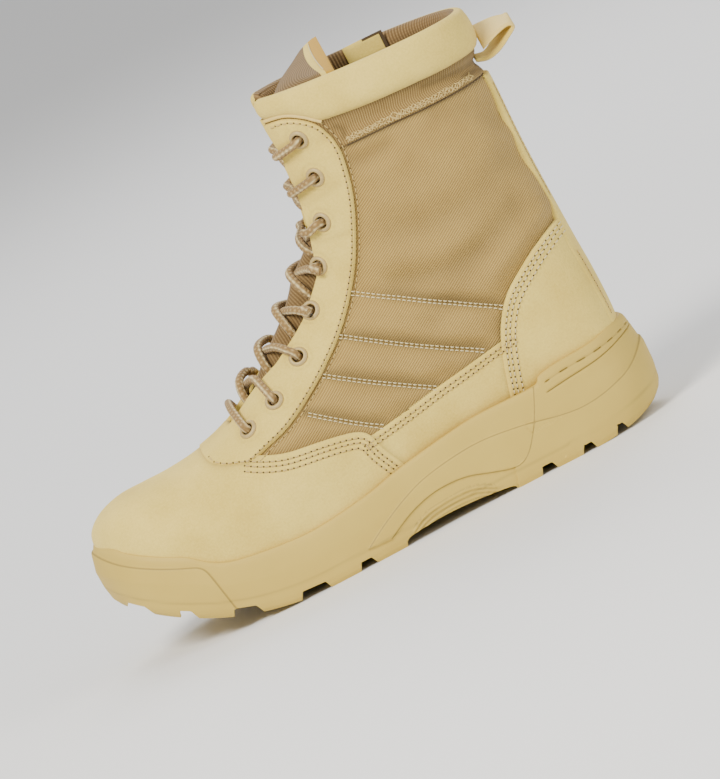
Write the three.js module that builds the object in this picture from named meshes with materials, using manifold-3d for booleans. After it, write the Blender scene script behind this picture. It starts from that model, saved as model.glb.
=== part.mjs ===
import * as THREE from "three";
import { mergeVertices } from "three/addons/utils/BufferGeometryUtils.js";
import Module from "manifold-3d";

// A left combat boot. Millimetres, +Z up, the toe points to -X and the outer side faces -Y.

const wasm = await Module();
wasm.setup();

// Driving sizes of the sole and the last
const soleLength = 311;
const ballWidth = 111;
const heelWidth = 81;
const shaftWidth = 84;
const toeSpring = 38;
const heelRise = 8;
const forefootFloor = 15.5;
const heelFloor = 32;
const sideHeight = 65;
const instepHeight = 147;
const collarHeight = 242.5;

// Thicknesses and clearances
const wall = 2.2;
const suede = 1.5;
const facing = 2.6;
const counterSuede = 2.2;
const backstaySuede = 2.4;
const bandCloth = 0.8;
const collarPad = 3.6;
const collarLining = 3.5;
const tongueThickness = 3.6;
const insoleThickness = 5;
const gap = 0.3;
const lastingGap = 2.5;

// Details of the sole
const lugDepth = 4.5;
const channelWidth = 5;
const bumperStep = 1.3;
const waveStep = 0.9;
const heelStep = 1.6;
const heelBandStep = 0.7;
const ribStep = 0.8;
const ribWidth = 1.1;
const ribPitch = 2.2;
const ribCount = 3;
const notchDepth = 1.3;

// Lacing
const throatWidth = 30;
const throatCut = 24;
const tongueWidth = 58;
const eyeletDiameter = 11;
const eyeletBore = 6.4;
const eyeletHeight = 1.2;
const laceDiameter = 4.5;

// Trim
const loopWidth = 20;
const loopStrip = 2;
const loopReach = 17.3;
const loopHeight = 18;
const backstayTop = 24;
const backstayFoot = 36;
const tabThickness = 1.2;

// How finely the curved faces are cut
const sidesAround = 18;
const outlineSteps = 34;
const laceSides = 5;
const eyeletSides = 8;
const far = 400;

const toeTip = -soleLength / 2;
const ballPlace = 0.3457;
const rungs = [0, forefootFloor, heelFloor, sideHeight, instepHeight, collarHeight];
const halfOf = { ball: ballWidth / 2, heel: heelWidth / 2, shaft: shaftWidth / 2 };

// A place along the sole, from 0 at the toe to 1 at the heel.
const along = (share) => toeTip + share * soleLength;

// How far the forefoot has lifted off the ground at x.
function spring(x) {
  const ball = along(ballPlace);
  return x < ball ? toeSpring * ((ball - x) / (ball - toeTip)) ** 2 : 0;
}

// A height given in rungs: 1 is the forefoot floor, 2 the heel floor, 3 the side, 4 the instep, 5 the collar.
function heightAt(rung) {
  const i = Math.min(Math.floor(Math.max(rung, 0)), rungs.length - 2);
  return rungs[i] + (rung - i) * (rungs[i + 1] - rungs[i]);
}

const sidePoint = ([share, rung]) => {
  const x = along(share);
  return new THREE.Vector2(x, heightAt(rung) + spring(x));
};

const smooth = (a, b, x) => THREE.MathUtils.smoothstep(x, a, b);

// A smooth line through points, sampled in a number of steps.
const through = (points, steps) => new THREE.SplineCurve(points).getPoints(steps);

// A value between the rows of a table, on a smooth curve through them.
function between(rows, column, place) {
  const last = rows.length - 1;
  const i = Math.min(Math.floor(place), last - 1);
  const value = (k) => rows[Math.min(Math.max(k, 0), last)][column];
  const t = place - i;
  const [a, b, c, d] = [value(i - 1), value(i), value(i + 1), value(i + 2)];
  return b + 0.5 * t * (c - a + t * (2 * a - 5 * b + 4 * c - d + t * (3 * (b - c) + d - a)));
}

// Sections of the last, from the toe, fanned over the instep and up the shaft to the collar.
// Keel and crest are the lower and upper ends of a section, swing is how far its middle lies
// to the inner side in half ball widths, and half is its half width in halves of the named width.
const sectionColumns = [
  "keelAlong", "keelRung", "crestAlong", "crestRung", "swing", "half", "widthOf",
  "widest", "low", "high", "seated",
];
const sectionRows = [
  [0.021, 1.636, 0.02, 2.061, 0.108, 0.011, "ball", 0.5, 2.4, 2.2, 1],
  [0.024, 1.152, 0.024, 2.242, 0.099, 0.198, "ball", 0.42, 2.6, 2.2, 1],
  [0.035, 1, 0.037, 2.455, 0.083, 0.36, "ball", 0.38, 3, 2.3, 1],
  [0.058, 1, 0.059, 2.697, 0.065, 0.532, "ball", 0.36, 3.2, 2.4, 1],
  [0.088, 1, 0.095, 2.97, 0.043, 0.672, "ball", 0.36, 3.3, 2.4, 1],
  [0.13, 1, 0.14, 3.073, 0.022, 0.786, "ball", 0.36, 3.4, 2.3, 1],
  [0.178, 1, 0.188, 3.146, 0.004, 0.85, "ball", 0.36, 3.4, 2.2, 1],
  [0.243, 1, 0.249, 3.238, -0.014, 0.883, "ball", 0.35, 3.4, 2.1, 1],
  [0.307, 1, 0.317, 3.354, -0.04, 0.872, "ball", 0.34, 3.4, 2, 1],
  [0.378, 1.012, 0.381, 3.512, -0.061, 0.825, "ball", 0.33, 3.4, 1.95, 1],
  [0.452, 1.121, 0.42, 3.616, -0.079, 0.762, "ball", 0.32, 3.4, 1.9, 1],
  [0.532, 1.485, 0.452, 3.713, -0.083, 0.695, "ball", 0.32, 3.3, 1.9, 1],
  [0.629, 1.848, 0.481, 3.805, -0.065, 0.894, "heel", 0.33, 3.2, 1.9, 1],
  [0.725, 1.97, 0.5, 3.878, -0.04, 0.864, "heel", 0.34, 3.2, 1.95, 1],
  [0.822, 2, 0.516, 3.951, -0.022, 0.859, "heel", 0.36, 3.2, 2, 1],
  [0.902, 2.015, 0.529, 4.016, -0.011, 0.859, "heel", 0.38, 3.1, 2, 1],
  [0.947, 2.091, 0.539, 4.063, -0.004, 0.859, "heel", 0.4, 3, 2, 0.5],
  [0.968, 2.333, 0.547, 4.105, 0, 0.859, "heel", 0.42, 2.8, 2.05, 0],
  [0.974, 2.788, 0.555, 4.157, 0, 0.864, "heel", 0.44, 2.6, 2.1, 0],
  [0.974, 3.183, 0.564, 4.225, 0, 0.848, "shaft", 0.46, 2.4, 2.1, 0],
  [0.97, 3.488, 0.573, 4.304, 0, 0.867, "shaft", 0.48, 2.3, 2.1, 0],
  [0.965, 4.084, 0.585, 4.455, 0, 0.914, "shaft", 0.5, 2.2, 2.1, 0],
  [0.966, 4.524, 0.589, 4.592, 0, 0.957, "shaft", 0.5, 2.2, 2.1, 0],
  [0.958, 4.618, 0.592, 4.67, 0, 0.919, "shaft", 0.5, 2.2, 2.1, 0],
  [0.968, 4.691, 0.59, 4.733, 0, 0.957, "shaft", 0.5, 2.2, 2.1, 0],
  [0.973, 4.796, 0.588, 4.838, 0, 0.986, "shaft", 0.5, 2.2, 2.1, 0],
  [0.971, 4.88, 0.587, 4.953, 0, 0.976, "shaft", 0.5, 2.2, 2.1, 0],
  [0.965, 4.916, 0.595, 5, 0, 0.929, "shaft", 0.5, 2.2, 2.1, 0],
];
const sections = sectionRows.map((row) => {
  const cell = Object.fromEntries(sectionColumns.map((name, i) => [name, row[i]]));
  const keel = sidePoint([cell.keelAlong, cell.keelRung]);
  const crest = sidePoint([cell.crestAlong, cell.crestRung]);
  return {
    ...cell,
    keelX: keel.x,
    keelZ: keel.y,
    crestX: crest.x,
    crestZ: crest.y,
    swing: (cell.swing * ballWidth) / 2,
    half: cell.half * halfOf[cell.widthOf],
  };
});
const lastRow = sections.length - 1;

// The row where the shaft is drawn in below the padded collar.
const collarRow = sections.findIndex((s) => s.keelRung > 4.6);

// The surface of the last. Row is a place in the table and turn goes from 0 at the keel,
// over half a turn at the crest, back to the keel on the outer side.
function lastSurface(row, turn) {
  const get = (column) => between(sections, column, row);
  const widest = get("widest");
  const lower = Math.cos(turn) > 0;
  const power = 2 / get(lower ? "low" : "high");
  const rise = Math.abs(Math.cos(turn)) ** power;
  const t = lower ? widest * (1 - rise) : widest + (1 - widest) * rise;
  const y = Math.sign(Math.sin(turn)) * Math.abs(Math.sin(turn)) ** power * get("half");
  return new THREE.Vector3(
    THREE.MathUtils.lerp(get("keelX"), get("crestX"), t),
    y + get("swing"),
    THREE.MathUtils.lerp(get("keelZ"), get("crestZ"), t),
  );
}

// The direction that faces out of the last.
function lastNormal(row, turn) {
  if (row < 0.01) return new THREE.Vector3(-1, 0, 0);
  const step = 0.05;
  const ahead = lastSurface(Math.min(row + step, lastRow), turn);
  const behind = lastSurface(Math.max(row - step, 0), turn);
  const left = lastSurface(row, turn - step);
  const right = lastSurface(row, turn + step);
  return right.sub(left).cross(ahead.sub(behind)).normalize();
}

// A point at a distance outside the last. Under the foot every layer shares the last's own floor.
function lastPoint(row, turn, distance) {
  const fromKeel = Math.PI - Math.abs((turn % (2 * Math.PI)) - Math.PI);
  const bare = between(sections, "seated", row) * (1 - smooth(0.35, 0.9, fromKeel));
  const share = 1 - Math.min(Math.max(bare, 0), 1);
  return lastSurface(row, turn).addScaledVector(lastNormal(row, turn), distance * share);
}

// The turn at which a section is a given width from its middle, on its upper half.
function turnAt(row, y) {
  const share = Math.min(Math.abs(y) / between(sections, "half", row), 1);
  const angle = Math.asin(share ** (between(sections, "high", row) / 2));
  return y > 0 ? Math.PI - angle : Math.PI + angle;
}

// The faces that join each ring of points to the next one.
function wallFaces(rings) {
  const count = rings[0].length;
  const faces = [];
  for (let r = 0; r + 1 < rings.length; r++)
    for (let i = 0; i < count; i++) {
      const j = (i + 1) % count;
      const [a, b, c, d] = [r * count + i, r * count + j, (r + 1) * count + j, (r + 1) * count + i];
      faces.push(a, b, c, a, c, d);
    }
  return faces;
}

const coordinates = (rings) => rings.flat().flatMap((p) => [p.x, p.y, p.z]);

// A closed solid from rings of points, its ends closed by fans.
function loft(rings) {
  const count = rings[0].length;
  const positions = coordinates(rings);
  const faces = wallFaces(rings);
  for (const [r, first, second] of [[0, 1, 0], [rings.length - 1, 0, 1]]) {
    const middle = rings[r].reduce((sum, p) => sum.add(p), new THREE.Vector3()).divideScalar(count);
    const centre = positions.length / 3;
    positions.push(middle.x, middle.y, middle.z);
    for (let i = 0; i < count; i++)
      faces.push(centre, r * count + ((i + first) % count), r * count + ((i + second) % count));
  }
  return solidOf(positions, faces);
}

// A closed mesh as a solid that can be joined and cut, with its faces turned outwards.
function solidOf(positions, faces) {
  const make = (order) =>
    new wasm.Manifold(
      new wasm.Mesh({
        numProp: 3,
        vertProperties: new Float32Array(positions),
        triVerts: new Uint32Array(order),
      }),
    );
  const solid = make(faces);
  if (solid.volume() > 0) return solid;
  return make(faces.map((_, i) => faces[i - (i % 3) + 2 - (i % 3)]));
}

// A three.js geometry as such a solid.
function solidFrom(geometry) {
  const bare = geometry.clone();
  bare.deleteAttribute("normal");
  bare.deleteAttribute("uv");
  const merged = mergeVertices(bare, 1e-4);
  return solidOf([...merged.attributes.position.array], [...merged.index.array]);
}

// Everything inside a surface that lies at a distance outside the last.
const turns = Array.from({ length: sidesAround }, (_, i) => (2 * Math.PI * (i + 0.5)) / sidesAround);
function form(distance, lift = 0) {
  const rings = sections.map((_, row) => turns.map((turn) => lastPoint(row, turn, distance)));
  if (lift) rings.push(rings[lastRow].map((p) => new THREE.Vector3(p.x, p.y, p.z + lift)));
  return loft(rings);
}

const shell = (inner, outer) => form(outer).subtract(form(inner, far));

// A solid whose side view is an outline, from one width to another.
function sidePrism(outline, from = -far, to = far) {
  const settings = { depth: to - from, bevelEnabled: false };
  const geometry = new THREE.ExtrudeGeometry(new THREE.Shape(outline), settings);
  geometry.rotateX(Math.PI / 2);
  return solidFrom(geometry.translate(0, to, 0));
}

// A closed outline moved outwards by a distance.
function grown(outline, distance) {
  const ccw = THREE.ShapeUtils.area(outline) > 0 ? 1 : -1;
  const count = outline.length;
  return outline.map((p, i) => {
    const before = outline[(i + count - 1) % count];
    const after = outline[(i + 1) % count];
    const a = p.clone().sub(before).normalize();
    const b = after.clone().sub(p).normalize();
    const normal = new THREE.Vector2(a.y + b.y, -a.x - b.x);
    const length = Math.max(normal.length(), 1);
    return p.clone().addScaledVector(normal, (ccw * distance * 2) / length ** 2);
  });
}

// Edges of the overlays, seen from the side, as places along the sole and rungs.
const eyestayEdge = [
  [0.251, 3.221], [0.256, 3.182], [0.275, 3.151], [0.297, 3.137], [0.317, 3.125], [0.355, 3.171],
  [0.404, 3.232], [0.461, 3.348], [0.506, 3.463], [0.551, 3.598], [0.593, 3.768], [0.625, 3.939],
  [0.651, 4.11], [0.674, 4.293], [0.686, 4.45], [0.691, 4.597], [0.68, 4.723], [0.661, 4.796],
  [0.629, 4.851], [0.59, 4.853],
];
const vampEdge = [
  [0.314, 3.191], [0.339, 3.146], [0.378, 3.095], [0.436, 3.061], [0.474, 3.034], [0.503, 3],
  [0.518, 2.864], [0.527, 2.606], [0.539, 2.364], [0.56, 1.9], [0.58, 1.2],
];
const foxingTop = [
  [0.5, 2.84], [0.539, 2.879], [0.596, 2.955], [0.654, 3.018], [0.712, 3.049], [0.81, 3.11],
];
const counterEdge = [
  [0.735, 1.3], [0.748, 1.879], [0.756, 2.348], [0.77, 2.848], [0.788, 3.122], [0.809, 3.256],
  [0.834, 3.36], [0.867, 3.445], [0.908, 3.53], [0.963, 3.604], [1.05, 3.65],
];
// The collar's lower edge at the back and where it starts to climb to the front, in rungs, and
// how far up the collar the nylon goes inside it.
const collarFoot = 4.69;
const collarShoulder = 4.76;
const collarTuck = 0.55;
const seamLine = [[0.6, 4.576], [0.757, 4.576], [0.838, 4.565], [0.902, 4.557], [1.05, 4.545]];
const collarEdge = [
  [0.55, 4.9], [0.629, 4.869], [0.661, 4.817], [0.683, 4.762], [0.712, 4.746], [0.773, 4.726],
  [0.854, 4.71], [0.918, 4.697], [1.05, collarFoot],
];
const edge = (table, steps) => through(table.map(sidePoint), steps);
const corner = (share, rung) => new THREE.Vector2(along(share), heightAt(rung));

const eyestayOutline = [...edge(eyestayEdge, 20), corner(0.251, 4.853)];
const vampOutline = [
  ...edge(vampEdge, 11),
  corner(0.58, -1),
  corner(-0.3, -1),
  corner(-0.3, 4.2),
  corner(0.3, 4.2),
];
const foxingOutline = [...edge(foxingTop, 6), corner(0.81, 0.5), corner(0.5, 0.5)];
const counterOutline = [...edge(counterEdge, 12), corner(1.3, 3.65), corner(1.3, 0.3), corner(0.735, 0.3)];
const bandOutline = [...edge(seamLine, 5), ...edge(collarEdge, 9).reverse()];
const aboveCollar = (back, front) => [
  corner(1.3, back),
  corner(1.3, 6),
  corner(0.3, 6),
  corner(0.3, front),
];
const collarOutline = [...edge(collarEdge, 9), ...aboveCollar(collarFoot, 4.9)];

// A side view of everything under the foot, up to a height above the last's floor.
function underFoot(height) {
  const seatedRows = sections.filter((s) => s.seated > 0.4);
  const line = seatedRows.map((s) => new THREE.Vector2(s.keelX, s.keelZ + height));
  const first = line[0];
  line[0] = new THREE.Vector2(first.x - far, line[1].y + (first.x - line[1].x));
  line.push(new THREE.Vector2(along(1.5), line.at(-1).y), new THREE.Vector2(along(1.5), -far));
  return sidePrism([...line, new THREE.Vector2(line[0].x, -far)]);
}

// Half the width of the throat, which narrows to its round foot.
const throatFoot = 8;
const throatHalf = (row) => (throatWidth / 2) * Math.min(1, 0.62 + 0.16 * Math.max(row - throatFoot, 0));

// The slot that the tongue closes, as a solid from inside the instep to outside it.
function throatSlot() {
  const rings = [];
  for (let row = throatFoot; row <= lastRow; row++) {
    const s = sections[row];
    const half = throatHalf(row);
    const direction = new THREE.Vector3(s.crestX - s.keelX, 0, s.crestZ - s.keelZ).normalize();
    const crest = new THREE.Vector3(s.crestX, s.swing, s.crestZ);
    const low = crest.clone().addScaledVector(direction, -throatCut);
    const high = crest.clone().addScaledVector(direction, throatCut);
    const side = (p, y) => new THREE.Vector3(p.x, p.y + y, p.z);
    rings.push([side(low, -half), side(low, half), side(high, half), side(high, -half)]);
  }
  rings.push(rings.at(-1).map((p) => new THREE.Vector3(p.x, p.y, p.z + far)));
  return loft(rings);
}

// The place on the outer or inner side of the last that shows at a point of the side view.
function placeFor([share, rung], side) {
  const target = sidePoint([share, rung]);
  let reach = { row: lastRow / 2, turn: 0.45 * Math.PI };
  let best = { row: lastRow / 2, turn: Math.PI - side * reach.turn };
  for (let round = 0; round < 12; round++) {
    const { row: midRow, turn: midTurn } = best;
    let nearest = Infinity;
    for (let i = -6; i <= 6; i++)
      for (let j = -6; j <= 6; j++) {
        const row = THREE.MathUtils.clamp(midRow + (i / 6) * reach.row, 0, lastRow);
        const turn = midTurn + (j / 6) * reach.turn;
        const p = lastSurface(row, turn);
        const miss = Math.hypot(p.x - target.x, p.z - target.y);
        if (miss < nearest) {
          nearest = miss;
          best = { row, turn };
        }
      }
    reach = { row: reach.row * 0.6, turn: reach.turn * 0.6 };
  }
  return best;
}

// Outline of the sole from above, from the toe along the outer side and back along the inner
// side, as places along the sole and shares of half the ball width.
const soleOutline = [
  [0, 0.108], [0.018, -0.306], [0.056, -0.613], [0.121, -0.838], [0.204, -0.973], [0.301, -1.009],
  [0.387, -0.982], [0.484, -0.91], [0.58, -0.838], [0.661, -0.793], [0.757, -0.757], [0.854, -0.739],
  [0.934, -0.604], [0.982, -0.324], [1, 0], [0.982, 0.324], [0.928, 0.613], [0.838, 0.721],
  [0.741, 0.694], [0.645, 0.676], [0.564, 0.694], [0.468, 0.757], [0.371, 0.874], [0.291, 0.964],
  [0.211, 0.982], [0.13, 0.919], [0.056, 0.739], [0.014, 0.468],
];

// Top edge of the sole's side.
const featherEdge = [
  [0.005, 1.99], [0.031, 2.06], [0.05, 2.05], [0.082, 2.072], [0.114, 2.09], [0.146, 2.09], [0.175, 1.974],
  [0.204, 1.887], [0.243, 1.917], [0.307, 1.95], [0.371, 1.933], [0.468, 2.061], [0.532, 2.182],
  [0.629, 2.309], [0.693, 2.364], [0.796, 2.358], [0.815, 2.473], [0.854, 2.53], [0.918, 2.545],
  [0.966, 2.606], [1, 2.621],
];

// Steps of the sole's side, seen from the side.
const bumperEdge = [
  [-0.04, 1.92], [0.018, 1.805], [0.05, 1.768], [0.082, 1.793], [0.114, 1.827], [0.143, 1.858],
  [0.159, 1.85], [0.168, 1.724], [0.173, 1.423], [0.18, 0.792], [0.186, 0.2],
];
const waveTop = [
  [0.429, 0.581], [0.468, 1.03], [0.516, 1.455], [0.564, 1.758], [0.629, 1.939], [0.686, 1.964],
  [0.757, 1.788], [0.822, 1.533], [0.867, 1.455], [0.918, 1.576], [0.969, 1.915], [1.04, 2.5],
];
const waveFoot = [
  [0.471, 0.516], [0.516, 0.955], [0.558, 1.188], [0.596, 1.242], [0.635, 1.152], [0.677, 0.877],
  [0.712, 0.697], [0.738, 0.871], [0.764, 1.455], [0.783, 2.03], [0.81, 2.6],
];
const notchTop = [[0.822, 2.3], [0.854, 2.335], [0.918, 2.38], [0.973, 2.485], [1.04, 2.6]];
const notchFoot = [[0.815, 2.19], [0.854, 2.23], [0.918, 2.275], [0.973, 2.37], [1.04, 2.5]];
const archRib = [[0.506, 0.33], [0.539, 0.67], [0.59, 0.79], [0.635, 0.71], [0.672, 0.36]];
const archLine = [[0.49, 0], [0.5, 0.26], [0.564, 0.36], [0.629, 0.31], [0.69, 0.16], [0.699, 0]];

// Gaps between the lugs: where each starts and ends at the ground and at its roof.
const lugGaps = [
  [0.021, 0.028, 0.05, 0.063],
  [0.095, 0.1, 0.116, 0.124],
  [0.175, 0.182, 0.217, 0.227],
  [0.288, 0.297, 0.339, 0.346],
  [0.4, 0.407, 0.426, 0.436],
  [0.744, 0.752, 0.77, 0.777],
  [0.822, 0.83, 0.844, 0.85],
  [0.887, 0.895, 0.904, 0.912],
];

// The height of the tread over the ground.
function treadHeight(x) {
  const rise = Math.max(0, (x - along(0.844)) / (along(1) - along(0.844)));
  return spring(x) + heelRise * rise ** 2;
}

// Rings of the sole's side, from the tread to the feather edge: share of the height, and how far
// the side stands in from the outline, along its flanks and more at the toe and the heel.
const soleLevels = [
  { up: 0, flank: 2, toe: 5, heel: 5 },
  { up: 0.15, flank: 0.3, toe: 1.6, heel: 1.5 },
  { up: 0.6, flank: 0.1, toe: 0, heel: 0 },
  { up: 0.85, flank: 0.9, toe: 1.2, heel: 1 },
  { up: 1, flank: 1.9, toe: 2.4, heel: 1.6 },
];

// The whole block of the sole, before the foot's hollow is taken out of it.
function soleBlock(extra) {
  const outline = new THREE.SplineCurve(
    [...soleOutline, soleOutline[0]].map(([a, y]) => new THREE.Vector2(along(a), (y * ballWidth) / 2)),
  );
  const feather = featherEdge.map(sidePoint);
  const featherAt = (x) => {
    const i = feather.findIndex((p) => p.x >= x);
    if (i <= 0) return feather.at(i).y;
    const [a, b] = [feather[i - 1], feather[i]];
    return THREE.MathUtils.mapLinear(x, a.x, b.x, a.y, b.y);
  };
  const stations = Array.from({ length: outlineSteps }, (_, i) => {
    const share = i / outlineSteps;
    const point = outline.getPoint(share);
    const ahead = outline.getPoint(Math.min(share + 0.004, 1));
    const behind = outline.getPoint(Math.max(share - 0.004, 0));
    const tangent = ahead.sub(behind).normalize();
    return { point, normal: new THREE.Vector2(tangent.y, -tangent.x) };
  });
  stations[0].normal = new THREE.Vector2(-1, 0);
  for (const s of stations) if (s.normal.dot(s.point) < 0) s.normal.multiplyScalar(-1);
  const rings = soleLevels.map((level) =>
    stations.map(({ point, normal }) => {
      const end = normal.x < 0 ? level.toe : level.heel;
      const inset = level.flank + end * normal.x ** 2 - extra;
      const at = point.clone().addScaledVector(normal, -inset);
      const bottom = treadHeight(point.x);
      const top = featherAt(point.x);
      return new THREE.Vector3(at.x, at.y, THREE.MathUtils.lerp(bottom, top, level.up));
    }),
  );
  return ringStack(rings);
}

// A closed solid from rings stacked upwards, its ends closed by strips from side to side.
function ringStack(rings) {
  const count = rings[0].length;
  const faces = wallFaces(rings);
  const top = (rings.length - 1) * count;
  for (const [base, flip] of [[0, true], [top, false]])
    for (let i = 0; i < count / 2; i++) {
      const [a, b] = [base + i, base + i + 1];
      const [c, d] = [base + ((count - i - 1) % count), base + ((count - i) % count)];
      const strip = [];
      if (b !== c) strip.push(a, b, c);
      if (d !== a) strip.push(a, c, d);
      for (let k = 0; k < strip.length; k += 3)
        faces.push(...(flip ? [strip[k], strip[k + 2], strip[k + 1]] : strip.slice(k, k + 3)));
    }
  return solidOf(coordinates(rings), faces);
}

const edgeRegion = (table, steps, ...corners) => sidePrism([...edge(table, steps), ...corners]);

// The one body left after cuts that may leave dust.
const largest = (solid) => solid.decompose().sort((a, b) => b.volume() - a.volume())[0];

function treadCuts() {
  const cuts = lugGaps.map((cells) => {
    const [a, b, c, d] = cells.map((share) => along(share));
    const roof = (x) => treadHeight(x) + lugDepth;
    const under = (x) => treadHeight(x) - lugDepth;
    const slope = lugDepth / 3;
    return sidePrism([
      new THREE.Vector2(a - slope, under(a)),
      new THREE.Vector2(b, roof(b)),
      new THREE.Vector2(c, roof(c)),
      new THREE.Vector2(d + slope, under(d)),
    ]);
  });
  const arch = [...edge(archLine, 6), corner(0.72, -1), corner(0.47, -1)];
  return [...cuts, sidePrism(arch)];
}

// Two channels along the tread that part the side lugs from the middle ones.
function treadChannel(y, from, to) {
  const steps = 5;
  const rings = Array.from({ length: steps + 1 }, (_, i) => {
    const x = along(THREE.MathUtils.lerp(from, to, i / steps));
    const [low, high] = [treadHeight(x) - lugDepth, treadHeight(x) + lugDepth];
    const half = channelWidth / 2;
    return [
      new THREE.Vector3(x, y - half, low),
      new THREE.Vector3(x, y + half, low),
      new THREE.Vector3(x, y + half, high),
      new THREE.Vector3(x, y - half, high),
    ];
  });
  return loft(rings);
}

function outsole() {
  const steps = [
    [bumperStep, edgeRegion(bumperEdge, 12, corner(0.186, -3), corner(-0.3, -3), corner(-0.3, 3))],
    [waveStep, sidePrism([
      ...edge(waveTop.slice(0, 8), 9),
      ...edge(waveFoot.slice(0, 9), 10).reverse(),
    ])],
    [heelStep, sidePrism([
      ...edge(waveTop.slice(6), 6),
      corner(1.2, -1),
      corner(0.69, -1),
      ...edge(waveFoot.slice(6, 9), 4),
    ])],
    [heelBandStep, sidePrism([
      ...edge(waveFoot.slice(8), 3),
      corner(1.3, 3),
      ...edge(waveTop.slice(7), 5).reverse(),
    ])],
  ];
  let sole = soleBlock(0);
  for (const [rise, region] of steps) sole = sole.add(soleBlock(rise).intersect(region));
  for (let i = 0; i < ribCount; i++) {
    const shifted = (drop) => edge(archRib, 6).map((p) => new THREE.Vector2(p.x, p.y - drop));
    const rib = [...shifted(i * ribPitch), ...shifted(i * ribPitch + ribWidth).reverse()];
    sole = sole.add(soleBlock(ribStep).intersect(sidePrism(rib)));
  }
  const notch = sidePrism([...edge(notchTop, 4), ...edge(notchFoot, 4).reverse()]);
  sole = sole.subtract(notch.subtract(soleBlock(heelBandStep - notchDepth)));
  const hollow = form(counterSuede + 2 * gap, far);
  const heelHollow = form(backstaySuede + 2 * gap, far).intersect(backstayRegion(gap));
  for (const cut of [...treadCuts(), hollow, heelHollow]) sole = sole.subtract(cut);
  const channelY = ballWidth / 5;
  for (const y of [-channelY, channelY]) {
    sole = sole.subtract(treadChannel(y, 0.13, 0.44));
    sole = sole.subtract(treadChannel(y * 0.8, 0.745, 0.91));
  }
  return largest(sole);
}

function insole() {
  const lift = gap;
  return form(-wall - gap, far).intersect(underFoot(insoleThickness + lift)).subtract(underFoot(lift));
}

const slot = throatSlot();
const bottomCut = underFoot(lastingGap);

// The side view of what is above the top of the nylon, hidden inside the collar.
function collarBase() {
  const lift = (collarHeight - heightAt(collarFoot)) * collarTuck;
  const roof = heightAt(collarShoulder);
  const line = edge(collarEdge, 9).map((p) => new THREE.Vector2(p.x, Math.min(p.y, roof) + lift));
  return [...line, ...aboveCollar(4.9, 4.95)];
}

function upper() {
  return shell(-wall, 0).subtract(slot).subtract(bottomCut).subtract(sidePrism(collarBase()));
}

const eyestayRegion = sidePrism(eyestayOutline);
const eyestayRoom = sidePrism(grown(eyestayOutline, gap));
const vampRoom = sidePrism(grown(vampOutline, gap));
const counterRoom = sidePrism(grown(counterOutline, gap));

function vamp() {
  return shell(gap, gap + suede).intersect(sidePrism(vampOutline)).subtract(eyestayRoom).subtract(bottomCut);
}

function eyestay() {
  return shell(gap, gap + facing).intersect(eyestayRegion).subtract(slot);
}

function foxing(side) {
  const half = side < 0 ? sidePrism(foxingOutline, -far, 0) : sidePrism(foxingOutline, 0, far);
  return shell(gap, gap + suede).intersect(half).subtract(vampRoom).subtract(counterRoom).subtract(bottomCut);
}

// The strip up the back, seen from behind, wider down over the counter.
function backstayRegion(extra) {
  const [top, foot] = [backstayTop / 2 + extra, backstayFoot / 2 + extra];
  const levels = [
    [foot, heightAt(0.5)],
    [foot, heightAt(3.4)],
    [top, heightAt(3.75)],
    [top, heightAt(4.545) + extra],
  ];
  const outline = [...levels, ...levels.map(([y, z]) => [-y, z]).reverse()];
  const shape = new THREE.Shape(outline.map(([y, z]) => new THREE.Vector2(y, z)));
  const geometry = new THREE.ExtrudeGeometry(shape, { depth: far, bevelEnabled: false });
  geometry.rotateX(Math.PI / 2).rotateZ(Math.PI / 2);
  return solidFrom(geometry.translate(along(0.85), 0, 0));
}

function backstay() {
  return shell(gap, gap + backstaySuede).intersect(backstayRegion(0)).subtract(bottomCut);
}

function heelCounter(side) {
  const half = side < 0 ? sidePrism(counterOutline, -far, 0) : sidePrism(counterOutline, 0, far);
  const layer = shell(gap, gap + counterSuede).intersect(half);
  return layer.subtract(backstayRegion(gap)).subtract(bottomCut);
}

function collarBand() {
  const layer = shell(gap, gap + bandCloth).intersect(sidePrism(bandOutline));
  return layer.subtract(eyestayRoom).subtract(slot).subtract(backstayRegion(gap));
}

// How far the padded collar stands off the last, from its lower edge to its rim.
function collarOuter() {
  const rings = sections.map((_, row) => {
    const share = THREE.MathUtils.clamp((row - collarRow) / (lastRow - collarRow), 0, 1);
    const round = Math.sin(Math.PI * Math.min(share, 0.8)) ** 0.5;
    const bulge = gap + bandCloth + (collarPad - bandCloth) * round;
    return turns.map((turn) => lastPoint(row, turn, bulge));
  });
  return loft(rings);
}

function collar() {
  const lined = collarOuter().subtract(form(-wall - gap - collarLining, far));
  const body = lined.intersect(sidePrism(collarOutline));
  const above = sidePrism(grown(collarBase(), -gap));
  const core = form(gap, far).subtract(form(-wall - gap, far)).subtract(above);
  return body.subtract(core).subtract(eyestayRoom).subtract(slot);
}

// A curved sheet from a grid of points on its outer and inner faces.
function sheet(rowCount, columnCount, pointAt) {
  const rings = Array.from({ length: rowCount }, (_, r) => {
    const outer = Array.from({ length: columnCount }, (_, c) => pointAt(r, c, 0));
    const inner = Array.from({ length: columnCount }, (_, c) => pointAt(r, c, 1));
    return [...outer, ...inner.reverse()];
  });
  return sheetFrom(rings, columnCount);
}

// Closes such a sheet with a strip at each end instead of a fan.
function sheetFrom(rings, columns) {
  const count = rings[0].length;
  const faces = wallFaces(rings);
  for (const [base, flip] of [[0, true], [(rings.length - 1) * count, false]])
    for (let i = 0; i + 1 < columns; i++) {
      const [a, b, c, d] = [base + i, base + i + 1, base + count - 2 - i, base + count - 1 - i];
      faces.push(...(flip ? [a, c, b, a, d, c] : [a, b, c, a, c, d]));
    }
  return solidOf(coordinates(rings), faces);
}

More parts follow.
